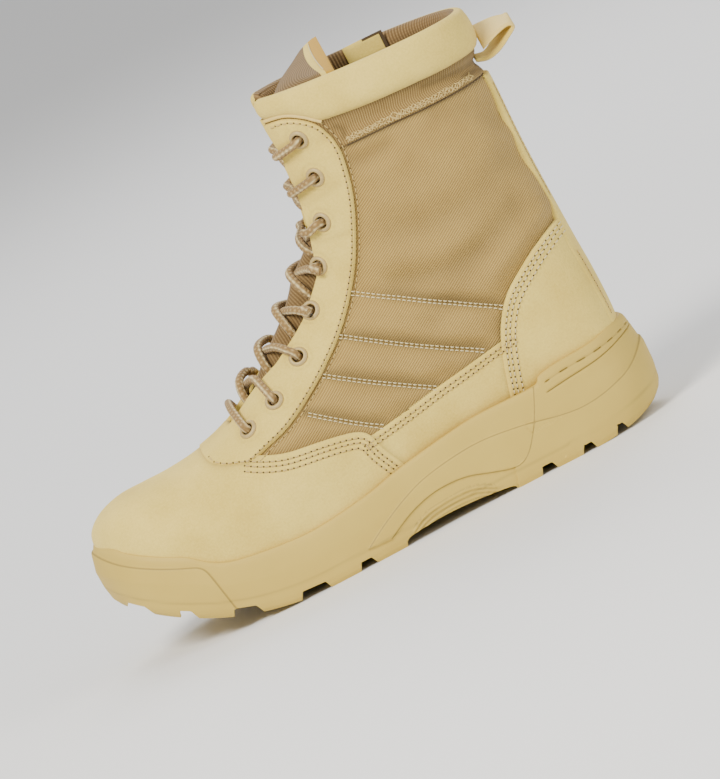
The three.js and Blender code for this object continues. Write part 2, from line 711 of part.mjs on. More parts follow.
// The free top of the tongue, which has sunk back into the mouth: places of its middle, how far
// its edges curl back in half widths, and how far it tips down to the outer side.
const tongueTop = [
  { along: 0.616, rung: 4.83, curl: 0.84, tip: 0 },
  { along: 0.63, rung: 4.92, curl: 0.8, tip: 0.04 },
  { along: 0.657, rung: 4.99, curl: 0.5, tip: 0.1 },
  { along: 0.697, rung: 5.02, curl: 0.16, tip: 0.18 },
  { along: 0.742, rung: 5.03, curl: 0, tip: 0.26 },
];

function tongue() {
  const columns = 7;
  const rows = [7, 8, 9, 10, 11, 12, 13, 14, 15, 16, 18, 20, 21, 22, 23, 24];
  const formRows = rows.length;
  const half = tongueWidth / 2;
  const place = (c) => (c / (columns - 1)) * 2 - 1;
  const clear = wall + 5 * gap;
  return sheet(formRows + tongueTop.length, columns, (r, c, face) => {
    const depth = clear + face * tongueThickness;
    if (r < formRows) {
      const row = rows[r];
      const narrow = Math.min(1, 0.6 + 0.2 * r);
      const inside = (collarLining + gap) * smooth(collarRow - 3, collarRow, row);
      return lastPoint(row, turnAt(row, place(c) * half * narrow), -depth - inside);
    }
    const top = tongueTop[r - formRows];
    const s = place(c);
    const lean = tongueTop[Math.min(r - formRows + 1, tongueTop.length - 1)];
    const before = tongueTop[Math.max(r - formRows - 1, 0)];
    const run = along(lean.along) - along(before.along);
    const rise = heightAt(lean.rung) - heightAt(before.rung);
    const [nx, nz] = [rise / Math.hypot(run, rise), -run / Math.hypot(run, rise)];
    const x = along(top.along) + top.curl * half * s * s + nx * face * tongueThickness;
    const z = heightAt(top.rung) + top.tip * half * s + nz * face * tongueThickness;
    return new THREE.Vector3(x, s * half, z);
  });
}

// Places of the eyelets on one side, from the top one down.
const eyeletPlaces = [
  [0.641, 4.717], [0.637, 4.487], [0.613, 4.241], [0.574, 4.021], [0.526, 3.787], [0.471, 3.567],
  [0.402, 3.39], [0.342, 3.293],
];
const eyeletSeat = gap + facing + 1.5 * gap;
const laceHeight = eyeletSeat + eyeletHeight + 2.5 * gap + laceDiameter / 2;

const eyeletSites = [-1, 1].map((side) =>
  eyeletPlaces.map((place) => {
    const { row, turn } = placeFor(place, side);
    return { row, turn, normal: lastNormal(row, turn) };
  }),
);

function eyelet({ row, turn, normal }) {
  const [outer, bore] = [eyeletDiameter / 2, eyeletBore / 2];
  const profile = [[bore, 0], [outer, 0], [(bore + outer) / 2, eyeletHeight], [bore, 0]];
  const geometry = new THREE.LatheGeometry(profile.map(([x, y]) => new THREE.Vector2(x, y)), eyeletSides);
  const turned = new THREE.Quaternion().setFromUnitVectors(new THREE.Vector3(0, 1, 0), normal);
  const seat = lastPoint(row, turn, eyeletSeat);
  return solidFrom(geometry.applyQuaternion(turned).translate(seat.x, seat.y, seat.z));
}

// A round cord through points.
function cord(points, steps) {
  const path = new THREE.CatmullRomCurve3(points);
  const corners = Array.from({ length: laceSides }, (_, i) => (2 * Math.PI * i) / laceSides);
  const radius = laceDiameter / 2;
  const round = corners.map((a) => new THREE.Vector2(radius * Math.cos(a), radius * Math.sin(a)));
  const settings = { steps, bevelEnabled: false, extrudePath: path };
  return solidFrom(new THREE.ExtrudeGeometry(new THREE.Shape(round), settings));
}

// How far each crossing sinks into the throat, from the top one down.
const laceSinks = [6.8, 6.8, 6.4, 4.5, 3.2, 2.6, 2.2];

// Two strands that cross over the tongue, from the eyelets of one pair forward to the far edge.
function laceCrossing(index) {
  const strands = [0, 1].map((which) => {
    const site = eyeletSites[which][index];
    const side = which === 0 ? -1 : 1;
    const next = Math.min(index + 1, eyeletPlaces.length - 1);
    const sink = laceSinks[index] + (which === 0 ? 0 : 0.3);
    const start = lastPoint(site.row, site.turn, laceHeight);
    const forward = eyeletSites[which][next].row;
    const at = (share, reach, height) => {
      const row = THREE.MathUtils.lerp(site.row, forward, share);
      return lastPoint(row, turnAt(row, side * reach * throatHalf(row)), height);
    };
    return cord(
      [
        start,
        at(0.14, 1.08, laceHeight + gap),
        at(0.36, 0.5, laceHeight - 0.7 * sink),
        at(0.5, 0, laceHeight - sink),
        at(0.62, -0.55, laceDiameter / 2 - wall + gap),
      ],
      6,
    );
  });
  return strands[0].add(strands[1]);
}

// The lowest strand, straight across between the last pair of eyelets.
function laceBar() {
  const [outer, inner] = [0, 1].map((which) => eyeletSites[which].at(-1));
  const row = outer.row - 0.25;
  const across = [-0.9, 0, 0.9].map((share) => {
    const y = (share * throatWidth) / 2;
    return lastPoint(row, turnAt(row, y), laceHeight + 0.4);
  });
  return cord(
    [lastPoint(outer.row, outer.turn, laceHeight), ...across, lastPoint(inner.row, inner.turn, laceHeight)],
    8,
  );
}

// The pull loop's middle line seen from the side: shares of its reach behind the collar and of
// its height.
const loopLine = [
  [-0.48, 0.139], [-0.092, 0.028], [0.324, 0.111], [0.711, 0.333], [1, 0.639], [0.884, 0.833],
  [0.497, 0.956], [-0.116, 1],
];

// A folded strip behind the collar, seen from the side as a flat loop that leans back.
function pullLoop() {
  const back = lastPoint(lastRow - 2, 0.001, collarPad + 2 * gap + loopStrip / 2).x;
  const foot = heightAt(4.6);
  const line = loopLine.map(([x, z]) => new THREE.Vector2(back + x * loopReach, foot + z * loopHeight));
  const middle = through(line, 14);
  const side = middle.map((p, i) => {
    const before = middle[Math.max(i - 1, 0)];
    const after = middle[Math.min(i + 1, middle.length - 1)];
    const t = after.clone().sub(before).normalize();
    return new THREE.Vector2(-t.y, t.x).multiplyScalar(loopStrip / 2);
  });
  const outline = [
    ...middle.map((p, i) => p.clone().add(side[i])),
    ...middle.map((p, i) => p.clone().sub(side[i])).reverse(),
  ];
  return sidePrism(outline, -loopWidth / 2, loopWidth / 2);
}

// A flat tab on the lining of the inner side, just under the rim.
function collarTab() {
  const [low, high] = [lastRow - 2.4, lastRow - 0.15];
  const [front, back] = [along(0.767), along(0.84)];
  return sheet(4, 5, (r, c, face) => {
    const row = THREE.MathUtils.lerp(low, high, r / 3);
    const x = THREE.MathUtils.lerp(front, back, c / 4);
    const [keel, crest] = [between(sections, "keelX", row), between(sections, "crestX", row)];
    const t = (x - keel) / (crest - keel);
    const widest = between(sections, "widest", row);
    const share = t < widest ? t / widest - 1 : (t - widest) / (1 - widest);
    const turn = Math.PI / 2 + Math.sign(share) * Math.asin(Math.min(Math.abs(share), 1) ** 1.1);
    return lastPoint(row, turn, -wall - collarLining - 5 * gap - face * tabThickness);
  });
}

const finishes = {
  rubber: { color: 0xd0be84, roughness: 0.62, metalness: 0 },
  suede: { color: 0xd7c894, roughness: 0.92, metalness: 0 },
  nylon: { color: 0xb9a06e, roughness: 0.75, metalness: 0 },
  lining: { color: 0x8f7748, roughness: 0.95, metalness: 0 },
  paint: { color: 0xc4ae78, roughness: 0.45, metalness: 0.3 },
  lace: { color: 0xa58c64, roughness: 0.85, metalness: 0 },
};

const boot = new THREE.Group();

function add(name, solid, finish) {
  const { vertProperties, triVerts } = solid.getMesh();
  const geometry = new THREE.BufferGeometry();
  geometry.setAttribute("position", new THREE.BufferAttribute(vertProperties, 3));
  geometry.setIndex(new THREE.BufferAttribute(triVerts, 1));
  geometry.computeVertexNormals();
  const mesh = new THREE.Mesh(geometry, new THREE.MeshStandardMaterial(finishes[finish]));
  mesh.name = name;
  boot.add(mesh);
}

add("outsole", outsole(), "rubber");
add("insole", insole(), "lining");
add("upper", upper(), "nylon");
add("tongue", tongue(), "suede");
add("vamp", vamp(), "suede");
add("eyestay", eyestay(), "suede");
add("foxing_outer", foxing(-1), "suede");
add("foxing_inner", foxing(1), "suede");
add("heel_counter_outer", heelCounter(-1), "suede");
add("heel_counter_inner", heelCounter(1), "suede");
add("backstay", backstay(), "suede");
add("collar_band", collarBand(), "nylon");
add("collar", collar(), "suede");
add("pull_loop", pullLoop(), "suede");
add("collar_tab", collarTab(), "lining");
for (const [i, side] of ["outer", "inner"].entries())
  for (const [row, site] of eyeletSites[i].entries())
    add(`eyelet_${side}_${row + 1}`, eyelet(site), "paint");
for (let row = 0; row + 1 < eyeletPlaces.length; row++)
  add(`lace_crossing_${row + 1}`, laceCrossing(row), "lace");
add("lace_bar", laceBar(), "lace");

// The part's origin is under the middle of its box, on the ground.
const box = new THREE.Box3().setFromObject(boot);
const middle = box.getCenter(new THREE.Vector3());
boot.position.set(-middle.x, -middle.y, -box.min.z);

const part = new THREE.Group();
part.add(boot);

export default part;
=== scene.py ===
# %% [markdown]
# # A combat boot around its CAD frame
#
# The boot is a tall lace-up one in tan suede and woven nylon on a moulded rubber sole. The solids
# from the CAD model are loaded first. They fix where everything is, and each one is then covered
# by a finer piece that has the seams, stitches, folds and cloth of the real boot.

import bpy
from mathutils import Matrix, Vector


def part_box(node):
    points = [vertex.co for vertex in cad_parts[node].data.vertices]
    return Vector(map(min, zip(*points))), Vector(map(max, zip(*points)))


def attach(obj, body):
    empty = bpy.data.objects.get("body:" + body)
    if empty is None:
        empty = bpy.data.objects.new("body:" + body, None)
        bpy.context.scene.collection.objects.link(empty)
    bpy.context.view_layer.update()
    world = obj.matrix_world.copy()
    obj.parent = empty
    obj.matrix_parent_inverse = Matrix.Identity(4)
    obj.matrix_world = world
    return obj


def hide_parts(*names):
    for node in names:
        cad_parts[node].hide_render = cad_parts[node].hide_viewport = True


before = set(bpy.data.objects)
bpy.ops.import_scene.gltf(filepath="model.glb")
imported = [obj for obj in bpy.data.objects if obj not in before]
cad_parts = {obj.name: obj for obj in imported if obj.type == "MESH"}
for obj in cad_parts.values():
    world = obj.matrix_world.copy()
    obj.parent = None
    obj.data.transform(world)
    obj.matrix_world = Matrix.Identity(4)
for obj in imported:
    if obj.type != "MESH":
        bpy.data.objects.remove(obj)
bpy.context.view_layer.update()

# %% [markdown]
# Shoemakers think in millimetres and Blender in metres. All shapes here are worked out as arrays
# of millimetres and turned into metres when a mesh is made. The sole's own box gives the length
# that every other place is a share of.

# %% Named sizes, in millimetres
import math

import bpy
import numpy as np
from mathutils import Matrix, Vector
from mathutils.bvhtree import BVHTree

MM = 0.001
TOE_STEP = 1.3
HEEL_STEP = 1.4
sole_low, sole_high = (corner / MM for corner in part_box("outsole"))
toe_tip = sole_low.x + TOE_STEP
sole_length = sole_high.x - HEEL_STEP - toe_tip
BALL_WIDTH = 111
HEEL_WIDTH = 81
SHAFT_WIDTH = 84
TOE_SPRING = 38
BALL_PLACE = 0.3457
RUNGS = np.array([0, 15.5, 32, 65, 147, 242.5])
WALL = 2.2
THROAT_WIDTH = 30
THROAT_FOOT = 8
LACE_WIDTH = 4.5
EYELET_WIDTH = 11
EYELET_BORE = 6.4
print("sole length", round(sole_length, 1), "toe tip at", round(toe_tip, 1))

# %% [markdown]
# Places on the boot are given as a share of the sole's length from the toe, and as a height in
# rungs: the forefoot floor, the heel floor, the side of the sole, the instep and the collar. The
# forefoot also lifts off the ground towards the toe.

# %% Places along the sole and up the boot
def along(share):
    return toe_tip + np.asarray(share, float) * sole_length


def spring(x):
    ball = along(BALL_PLACE)
    lift = np.clip((ball - x) / (ball - toe_tip), 0, None)
    return TOE_SPRING * lift**2


def rung_height(rung):
    """Height of a rung, which goes on in a straight line above the collar and below the ground."""
    rung = np.asarray(rung, float)
    i = np.clip(np.floor(rung).astype(int), 0, len(RUNGS) - 2)
    return RUNGS[i] + (rung - i) * (RUNGS[i + 1] - RUNGS[i])


def side_points(rows):
    rows = np.asarray(rows, float)
    x = along(rows[:, 0])
    return np.column_stack([x, rung_height(rows[:, 1]) + spring(x)])


def smooth(low, high, value):
    t = np.clip((value - low) / (high - low), 0, 1)
    return t * t * (3 - 2 * t)


print("toe lifts", round(float(spring(toe_tip)), 1), "mm")

# %% [markdown]
# The upper is pulled over a last, the maker's model of the foot. The last is described by
# sections that fan from the toe over the instep and up the shaft. Each section has a keel point
# below, a crest point above, a width, and two powers that say how square its corners are. A
# smooth curve through the rows of the table gives every section in between.

# %% The last's sections
SECTION_COLUMNS = (
    "keel_along keel_rung crest_along crest_rung swing half width_of widest low high seated"
).split()
SECTION_ROWS = [
    [0.021, 1.636, 0.02, 2.061, 0.108, 0.011, "ball", 0.5, 2.4, 2.2, 1],
    [0.024, 1.152, 0.024, 2.242, 0.099, 0.198, "ball", 0.42, 2.6, 2.2, 1],
    [0.035, 1, 0.037, 2.455, 0.083, 0.36, "ball", 0.38, 3, 2.3, 1],
    [0.058, 1, 0.059, 2.697, 0.065, 0.532, "ball", 0.36, 3.2, 2.4, 1],
    [0.088, 1, 0.095, 2.97, 0.043, 0.672, "ball", 0.36, 3.3, 2.4, 1],
    [0.13, 1, 0.14, 3.073, 0.022, 0.786, "ball", 0.36, 3.4, 2.3, 1],
    [0.178, 1, 0.188, 3.146, 0.004, 0.85, "ball", 0.36, 3.4, 2.2, 1],
    [0.243, 1, 0.249, 3.238, -0.014, 0.883, "ball", 0.35, 3.4, 2.1, 1],
    [0.307, 1, 0.317, 3.354, -0.04, 0.872, "ball", 0.34, 3.4, 2, 1],
    [0.378, 1.012, 0.381, 3.512, -0.061, 0.825, "ball", 0.33, 3.4, 1.95, 1],
    [0.452, 1.121, 0.42, 3.616, -0.079, 0.762, "ball", 0.32, 3.4, 1.9, 1],
    [0.532, 1.485, 0.452, 3.713, -0.083, 0.695, "ball", 0.32, 3.3, 1.9, 1],
    [0.629, 1.848, 0.481, 3.805, -0.065, 0.894, "heel", 0.33, 3.2, 1.9, 1],
    [0.725, 1.97, 0.5, 3.878, -0.04, 0.864, "heel", 0.34, 3.2, 1.95, 1],
    [0.822, 2, 0.516, 3.951, -0.022, 0.859, "heel", 0.36, 3.2, 2, 1],
    [0.902, 2.015, 0.529, 4.016, -0.011, 0.859, "heel", 0.38, 3.1, 2, 1],
    [0.947, 2.091, 0.539, 4.063, -0.004, 0.859, "heel", 0.4, 3, 2, 0.5],
    [0.968, 2.333, 0.547, 4.105, 0, 0.859, "heel", 0.42, 2.8, 2.05, 0],
    [0.974, 2.788, 0.555, 4.157, 0, 0.864, "heel", 0.44, 2.6, 2.1, 0],
    [0.974, 3.183, 0.564, 4.225, 0, 0.848, "shaft", 0.46, 2.4, 2.1, 0],
    [0.97, 3.488, 0.573, 4.304, 0, 0.867, "shaft", 0.48, 2.3, 2.1, 0],
    [0.965, 4.084, 0.585, 4.455, 0, 0.914, "shaft", 0.5, 2.2, 2.1, 0],
    [0.966, 4.524, 0.589, 4.592, 0, 0.957, "shaft", 0.5, 2.2, 2.1, 0],
    [0.958, 4.618, 0.592, 4.67, 0, 0.919, "shaft", 0.5, 2.2, 2.1, 0],
    [0.968, 4.691, 0.59, 4.733, 0, 0.957, "shaft", 0.5, 2.2, 2.1, 0],
    [0.973, 4.796, 0.588, 4.838, 0, 0.986, "shaft", 0.5, 2.2, 2.1, 0],
    [0.971, 4.88, 0.587, 4.953, 0, 0.976, "shaft", 0.5, 2.2, 2.1, 0],
    [0.965, 4.916, 0.595, 5, 0, 0.929, "shaft", 0.5, 2.2, 2.1, 0],
]
last_row = len(SECTION_ROWS) - 1
width_named = {"ball": BALL_WIDTH, "heel": HEEL_WIDTH, "shaft": SHAFT_WIDTH}
cells = [dict(zip(SECTION_COLUMNS, row)) for row in SECTION_ROWS]
keels = side_points([[c["keel_along"], c["keel_rung"]] for c in cells])
crests = side_points([[c["crest_along"], c["crest_rung"]] for c in cells])
section = {
    "keel_x": keels[:, 0],
    "keel_z": keels[:, 1],
    "crest_x": crests[:, 0],
    "crest_z": crests[:, 1],
    "swing": np.array([c["swing"] * BALL_WIDTH / 2 for c in cells]),
    "half": np.array([c["half"] * width_named[c["width_of"]] / 2 for c in cells]),
}
for column in ("widest", "low", "high", "seated"):
    section[column] = np.array([c[column] for c in cells], float)
print(len(SECTION_ROWS), "sections")

# %% [markdown]
# A point on the last is named by its row in the table and by a turn: 0 at the keel, half a turn
# at the crest, and on over the outer side back to the keel. Each layer of the boot is this
# surface moved outwards by the thickness of what lies under it.

# %% The surface of the last
def between(values, place):
    """A smooth curve through the values, read at places between them."""
    last = len(values) - 1
    i = np.clip(np.floor(place).astype(int), 0, last - 1)
    t = place - i
    a = values[np.clip(i - 1, 0, last)]
    b = values[i]
    c = values[i + 1]
    d = values[np.clip(i + 2, 0, last)]
    return b + 0.5 * t * (c - a + t * (2 * a - 5 * b + 4 * c - d + t * (3 * (b - c) + d - a)))


def last_surface(row, turn):
    at = {name: between(values, row) for name, values in section.items()}
    lower = np.cos(turn) > 0
    power = 2 / np.where(lower, at["low"], at["high"])
    rise = np.abs(np.cos(turn)) ** power
    widest = at["widest"]
    t = np.where(lower, widest * (1 - rise), widest + (1 - widest) * rise)
    y = np.sign(np.sin(turn)) * np.abs(np.sin(turn)) ** power * at["half"]
    x = at["keel_x"] + (at["crest_x"] - at["keel_x"]) * t
    z = at["keel_z"] + (at["crest_z"] - at["keel_z"]) * t
    return np.stack([x, y + at["swing"], z], axis=-1)


def unit(vectors):
    return vectors / np.maximum(np.linalg.norm(vectors, axis=-1, keepdims=True), 1e-9)


NORMAL_STEP = 0.04
TOE_END_ROW = 0.05
FLOOR_TURNS = (0.35, 0.9)
THROAT_FOOT_SHARE = 0.62
THROAT_WIDENING = 0.16


def last_normal(row, turn):
    ahead = last_surface(np.minimum(row + NORMAL_STEP, last_row), turn)
    behind = last_surface(np.maximum(row - NORMAL_STEP, 0), turn)
    across = last_surface(row, turn + NORMAL_STEP) - last_surface(row, turn - NORMAL_STEP)
    normal = unit(np.cross(across, ahead - behind))
    normal[row < TOE_END_ROW] = (-1, 0, 0)
    return normal


def last_points(row, turn, distance):
    """Points at a distance outside the last. Under the foot every layer shares the last's floor."""
    from_keel = np.pi - np.abs(np.mod(turn, 2 * np.pi) - np.pi)
    bare = np.clip(between(section["seated"], row) * (1 - smooth(*FLOOR_TURNS, from_keel)), 0, 1)
    offset = (np.asarray(distance) * (1 - bare))[..., None]
    return last_surface(row, turn) + last_normal(row, turn) * offset


def throat_half(row):
    """Half the width of the throat, which narrows to its round foot."""
    share = THROAT_FOOT_SHARE + THROAT_WIDENING * np.maximum(row - THROAT_FOOT, 0)
    return THROAT_WIDTH / 2 * np.minimum(1, share)


probe = last_surface(np.array([20.0]), np.array([1.5 * np.pi]))[0]
print("outer side of the shaft at", probe.round(1))

# %% [markdown]
# The overlays of suede are cut by their edges as seen from the side. A fine net is laid over the
# last, and its triangles are split exactly where a line crosses them, so that a cut edge is a
# clean curve and not a staircase. The net stores only rows and turns: a new corner is placed by
# the last itself, so it always lies on the surface.

# %% Nets that can be cut along a line
def net(rows, turns):
    """Corners (row, turn) and triangles of a net over all pairs of the given rows and turns."""
    row, turn = np.meshgrid(rows, turns, indexing="ij")
    corners = np.column_stack([row.ravel(), turn.ravel()])
    index = np.arange(len(corners)).reshape(row.shape)
    a, b = index[:-1, :-1].ravel(), index[1:, :-1].ravel()
    c, d = index[1:, 1:].ravel(), index[:-1, 1:].ravel()
    return corners, np.concatenate([np.column_stack([a, b, c]), np.column_stack([a, c, d])])


def split(corners, triangles, value):
    """Splits the triangles where value changes sign, which puts a row of corners on value = 0."""
    above = value[triangles] > 0
    count = above.sum(1)
    mixed = (count == 1) | (count == 2)
    lone = np.where(count == 1, above.argmax(1), (~above).argmax(1))[mixed]
    turned = (lone[:, None] + np.arange(3)) % 3
    p, q, r = np.take_along_axis(triangles[mixed], turned, axis=1).T
    edges = np.sort(np.concatenate([np.column_stack([p, q]), np.column_stack([p, r])]), axis=1)
    unique, back = np.unique(edges, axis=0, return_inverse=True)
    back = back.ravel()
    low, high = value[unique[:, 0]], value[unique[:, 1]]
    share = (low / np.where(low == high, 1, low - high))[:, None]
    fresh = corners[unique[:, 0]] * (1 - share) + corners[unique[:, 1]] * share
    pq = back[: len(p)] + len(corners)
    pr = back[len(p) :] + len(corners)
    pieces = [triangles[~mixed], np.column_stack([p, pq, pr])]
    pieces += [np.column_stack([pq, q, r]), np.column_stack([pq, r, pr])]
    return np.concatenate([corners, fresh]), np.concatenate(pieces)


def used_only(corners, triangles):
    kept, back = np.unique(triangles, return_inverse=True)
    return corners[kept], back.reshape(triangles.shape)


def cut_to(corners, triangles, field, lines=()):
    """Keeps the part of a net where field is above 0, with extra rows of corners on the given
    lines of the field, so that an edge can be rounded."""
    for level in (0, *lines):
        corners, triangles = split(corners, triangles, field(corners) - level)
    middle = corners[triangles].mean(axis=1)
    return used_only(corners, triangles[field(middle) > 0])


# %% [markdown]
# Each cut needs a field: how far a point lies inside a line, in millimetres. An outline seen from
# the side gives one, and so does the slot of the throat. The smaller of two fields cuts along
# both.

# %% Fields that say how far inside a line a point lies
def curve_through(points, steps):
    """A smooth line through points, in a number of equal steps of the table's rows."""
    points = np.asarray(points, float)
    place = np.linspace(0, len(points) - 1, steps + 1)
    return np.column_stack([between(points[:, k], place) for k in range(points.shape[1])])


def line_distance(points, line):
    """Distance from each point to a line of many parts, in the side view."""
    best = np.full(len(points), np.inf)
    for start, end in zip(line[:-1], line[1:]):
        step = end - start
        t = np.clip((points - start) @ step / max(step @ step, 1e-9), 0, 1)
        best = np.minimum(best, np.linalg.norm(points - start - t[:, None] * step, axis=1))
    return best


def inside_outline(points, outline):
    """Distance to a closed outline, above 0 inside it and below 0 outside."""
    closed = np.vstack([outline, outline[:1]])
    inside = np.zeros(len(points), bool)
    for (ax, az), (bx, bz) in zip(closed[:-1], closed[1:]):
        if az == bz:
            continue
        crosses = (az > points[:, 1]) != (bz > points[:, 1])
        at = ax + (points[:, 1] - az) * (bx - ax) / (bz - az)
        inside ^= crosses & (points[:, 0] < at)
    return np.where(inside, 1, -1) * line_distance(points, closed)


def side_view(corners):
    return last_surface(corners[:, 0], corners[:, 1])[:, [0, 2]]


def travelled(points):
    """How far along a line of points each of them lies."""
    steps = np.linalg.norm(np.diff(points, axis=0), axis=1)
    return np.concatenate([[0], np.cumsum(steps)])


FAR_INSIDE, FAR_OUTSIDE = 30.0, -50.0
ROW_LENGTH = 12


def off_slot(corners):
    """How far a point lies beside the throat's slot."""
    row, turn = corners.T
    upper_half = np.cos(turn) < 0
    y = np.abs(last_surface(row, turn)[:, 1] - between(section["swing"], row))
    beside = y - throat_half(row)
    before = (THROAT_FOOT - row) * ROW_LENGTH
    return np.where(upper_half, np.maximum(beside, before), FAR_INSIDE)


# %% [markdown]
# The edges of the overlays are read off the photograph and written as places along the sole and
# rungs, as in the CAD model.

# %% Edges of the overlays
EYESTAY_EDGE = [
    [0.251, 3.221], [0.256, 3.182], [0.275, 3.151], [0.297, 3.137], [0.317, 3.125],
    [0.355, 3.171], [0.404, 3.232], [0.461, 3.348], [0.506, 3.463], [0.551, 3.598],
    [0.593, 3.768], [0.625, 3.939], [0.651, 4.11], [0.674, 4.293], [0.686, 4.45],
    [0.691, 4.597], [0.68, 4.723], [0.661, 4.796], [0.629, 4.851], [0.59, 4.853],
]
VAMP_EDGE = [
    [0.314, 3.191], [0.339, 3.146], [0.378, 3.095], [0.436, 3.061], [0.474, 3.034], [0.503, 3],
    [0.518, 2.864], [0.527, 2.606], [0.539, 2.364], [0.56, 1.9], [0.58, 1.2],
]
FOXING_EDGE = [
    [0.5, 2.84], [0.539, 2.879], [0.596, 2.955], [0.654, 3.018], [0.712, 3.049], [0.81, 3.11],
]
COUNTER_EDGE = [
    [0.735, 1.3], [0.748, 1.879], [0.756, 2.348], [0.77, 2.848], [0.788, 3.122], [0.809, 3.256],
    [0.834, 3.36], [0.867, 3.445], [0.908, 3.53], [0.963, 3.604], [1.05, 3.65],
]
SEAM_EDGE = [[0.6, 4.576], [0.757, 4.576], [0.838, 4.565], [0.902, 4.557], [1.05, 4.545]]
COLLAR_EDGE = [
    [0.55, 4.9], [0.629, 4.869], [0.661, 4.817], [0.683, 4.762], [0.712, 4.746],
    [0.773, 4.726], [0.854, 4.71], [0.918, 4.697], [1.05, 4.69],
]


def edge(table, steps=60):
    return curve_through(side_points(table), steps)


def corner(share, rung):
    return np.array([[float(along(share)), float(rung_height(rung))]])


PAST_TOE, PAST_HEEL = -0.3, 1.3
UNDER_COLLAR = 3.0
seam_edge = edge(SEAM_EDGE)
collar_edge = edge(COLLAR_EDGE)
eyestay_outline = np.vstack([edge(EYESTAY_EDGE), corner(0.251, 4.853)])
vamp_outline = np.vstack([
    edge(VAMP_EDGE), corner(0.58, -1), corner(PAST_TOE, -1), corner(PAST_TOE, 4.2),
    corner(0.3, 4.2),
])
foxing_outline = np.vstack([edge(FOXING_EDGE), corner(0.81, 0.5), corner(0.5, 0.5)])
counter_outline = np.vstack(
    [edge(COUNTER_EDGE), corner(PAST_HEEL, 3.65), corner(PAST_HEEL, 0.3), corner(0.735, 0.3)]
)
band_outline = np.vstack([seam_edge, collar_edge[::-1] + [0, UNDER_COLLAR]])
collar_outline = np.vstack([
    collar_edge, corner(PAST_HEEL, 4.69), corner(PAST_HEEL, 6), corner(0.3, 6), corner(0.3, 4.9),
])
print("eyestay edge from", eyestay_outline[0].round(1), "to", eyestay_outline[-2].round(1))

# %% [markdown]
# Rows of the net are spaced evenly along the boot and not along the table, or the long waist
# would be coarse and the ankle too fine.

# %% Even rows and turns
TRAVEL_TURNS = (0.02, 0.5 * np.pi, 0.8 * np.pi)
TRAVEL_STEPS = 1200


def even_rows(step):
    """Rows of the table that lie at an even distance along the boot."""
    fine = np.linspace(0, last_row, TRAVEL_STEPS)
    travel = np.zeros(len(fine) - 1)
    for turn in TRAVEL_TURNS:
        points = last_surface(fine, np.full(len(fine), turn))
        travel = np.maximum(travel, np.linalg.norm(np.diff(points, axis=0), axis=1))
    length = np.concatenate([[0], np.cumsum(travel)])
    count = int(length[-1] / step) + 1
    return np.interp(np.linspace(0, length[-1], count), length, fine)


ROW_STEP = 1.7
TURN_COUNT = 220
base_rows = even_rows(ROW_STEP)
base_turns = (np.arange(TURN_COUNT + 1) + 0.5) / TURN_COUNT * 2 * np.pi
base_net = net(base_rows, base_turns)
print(len(base_rows), "rows,", len(base_net[1]), "triangles in the base net")

# %% [markdown]
# ## Finishes
#
# Finishes are built from nodes. Writing them as sums would be easier to read than a tree of
# boxes, so one small class wraps a socket and lets Python's own operators add the nodes. Numbers
# go through Math nodes, colours through Mix nodes and vectors through Vector Math.

# %% A socket that can be added and multiplied
class Wire:
    def __init__(self, tree, socket):
        self.tree = tree
        self.socket = socket

    def node(self, kind, settings=None, output=0, **sockets):
        """Any other node: its settings are made first, then its sockets by name."""
        made = self.tree.nodes.new(kind)
        for name, value in (settings or {}).items():
            if name == "stops":
                set_stops(made.color_ramp, value)
            else:
                setattr(made, name, value)
        for name, value in sockets.items():
            feed(self.tree, open_socket(made, name), value)
        outputs = [s for s in made.outputs if s.enabled]
        return Wire(self.tree, outputs[output] if isinstance(output, int) else made.outputs[output])

    def kind_with(self, other):
        kinds = {self.socket.type}
        if isinstance(other, Wire):
            kinds.add(other.socket.type)
        elif isinstance(other, (tuple, list)):
            kinds.add("RGBA" if len(other) == 4 else "VECTOR")
        for kind in ("RGBA", "VECTOR"):
            if kind in kinds:
                return kind
        return "VALUE"

    def combine(self, other, operation, swap=False):
        a, b = (other, self) if swap else (self, other)
        kind = self.kind_with(other)
        if kind == "RGBA":
            settings = {"data_type": "RGBA", "blend_type": operation}
            return self.node("ShaderNodeMix", settings, Factor=1.0, A=a, B=b)
        if kind == "VECTOR":
            made = self.tree.nodes.new("ShaderNodeVectorMath")
        else:
            made = self.tree.nodes.new("ShaderNodeMath")
        made.operation = operation
        feed(self.tree, made.inputs[0], a)
        feed(self.tree, made.inputs[1], b)
        return Wire(self.tree, made.outputs[0])

    def __add__(self, other):
        return self.combine(other, "ADD")

    def __radd__(self, other):
        return self.combine(other, "ADD", swap=True)

    def __sub__(self, other):
        return self.combine(other, "SUBTRACT")

    def __rsub__(self, other):
        return self.combine(other, "SUBTRACT", swap=True)

    def __mul__(self, other):
        return self.combine(other, "MULTIPLY")

    def __rmul__(self, other):
        return self.combine(other, "MULTIPLY", swap=True)

    def __pow__(self, other):
        return self.combine(other, "POWER")

    def blend(self, low, high):
        """A colour that goes from low to high as this value goes from 0 to 1."""
        settings = {"data_type": "RGBA", "blend_type": "MIX"}
        return self.node("ShaderNodeMix", settings, Factor=self, A=low, B=high)


def open_socket(made, name):
    """The socket of that name that the node uses with its present settings."""
    name = name.replace("_", " ")
    return next(s for s in made.inputs if s.name == name and s.enabled)


def feed(tree, socket, value):
    if isinstance(value, Wire):
        tree.links.new(value.socket, socket)
    elif socket.type == "VECTOR" and not isinstance(value, (tuple, list)):
        socket.default_value = (value, value, value)
    else:
        socket.default_value = value


def set_stops(ramp, stops):
    while len(ramp.elements) < len(stops):
        ramp.elements.new(1.0)
    for element, (place, level) in zip(ramp.elements, stops):
        element.position = place
        element.color = (level, level, level, 1)


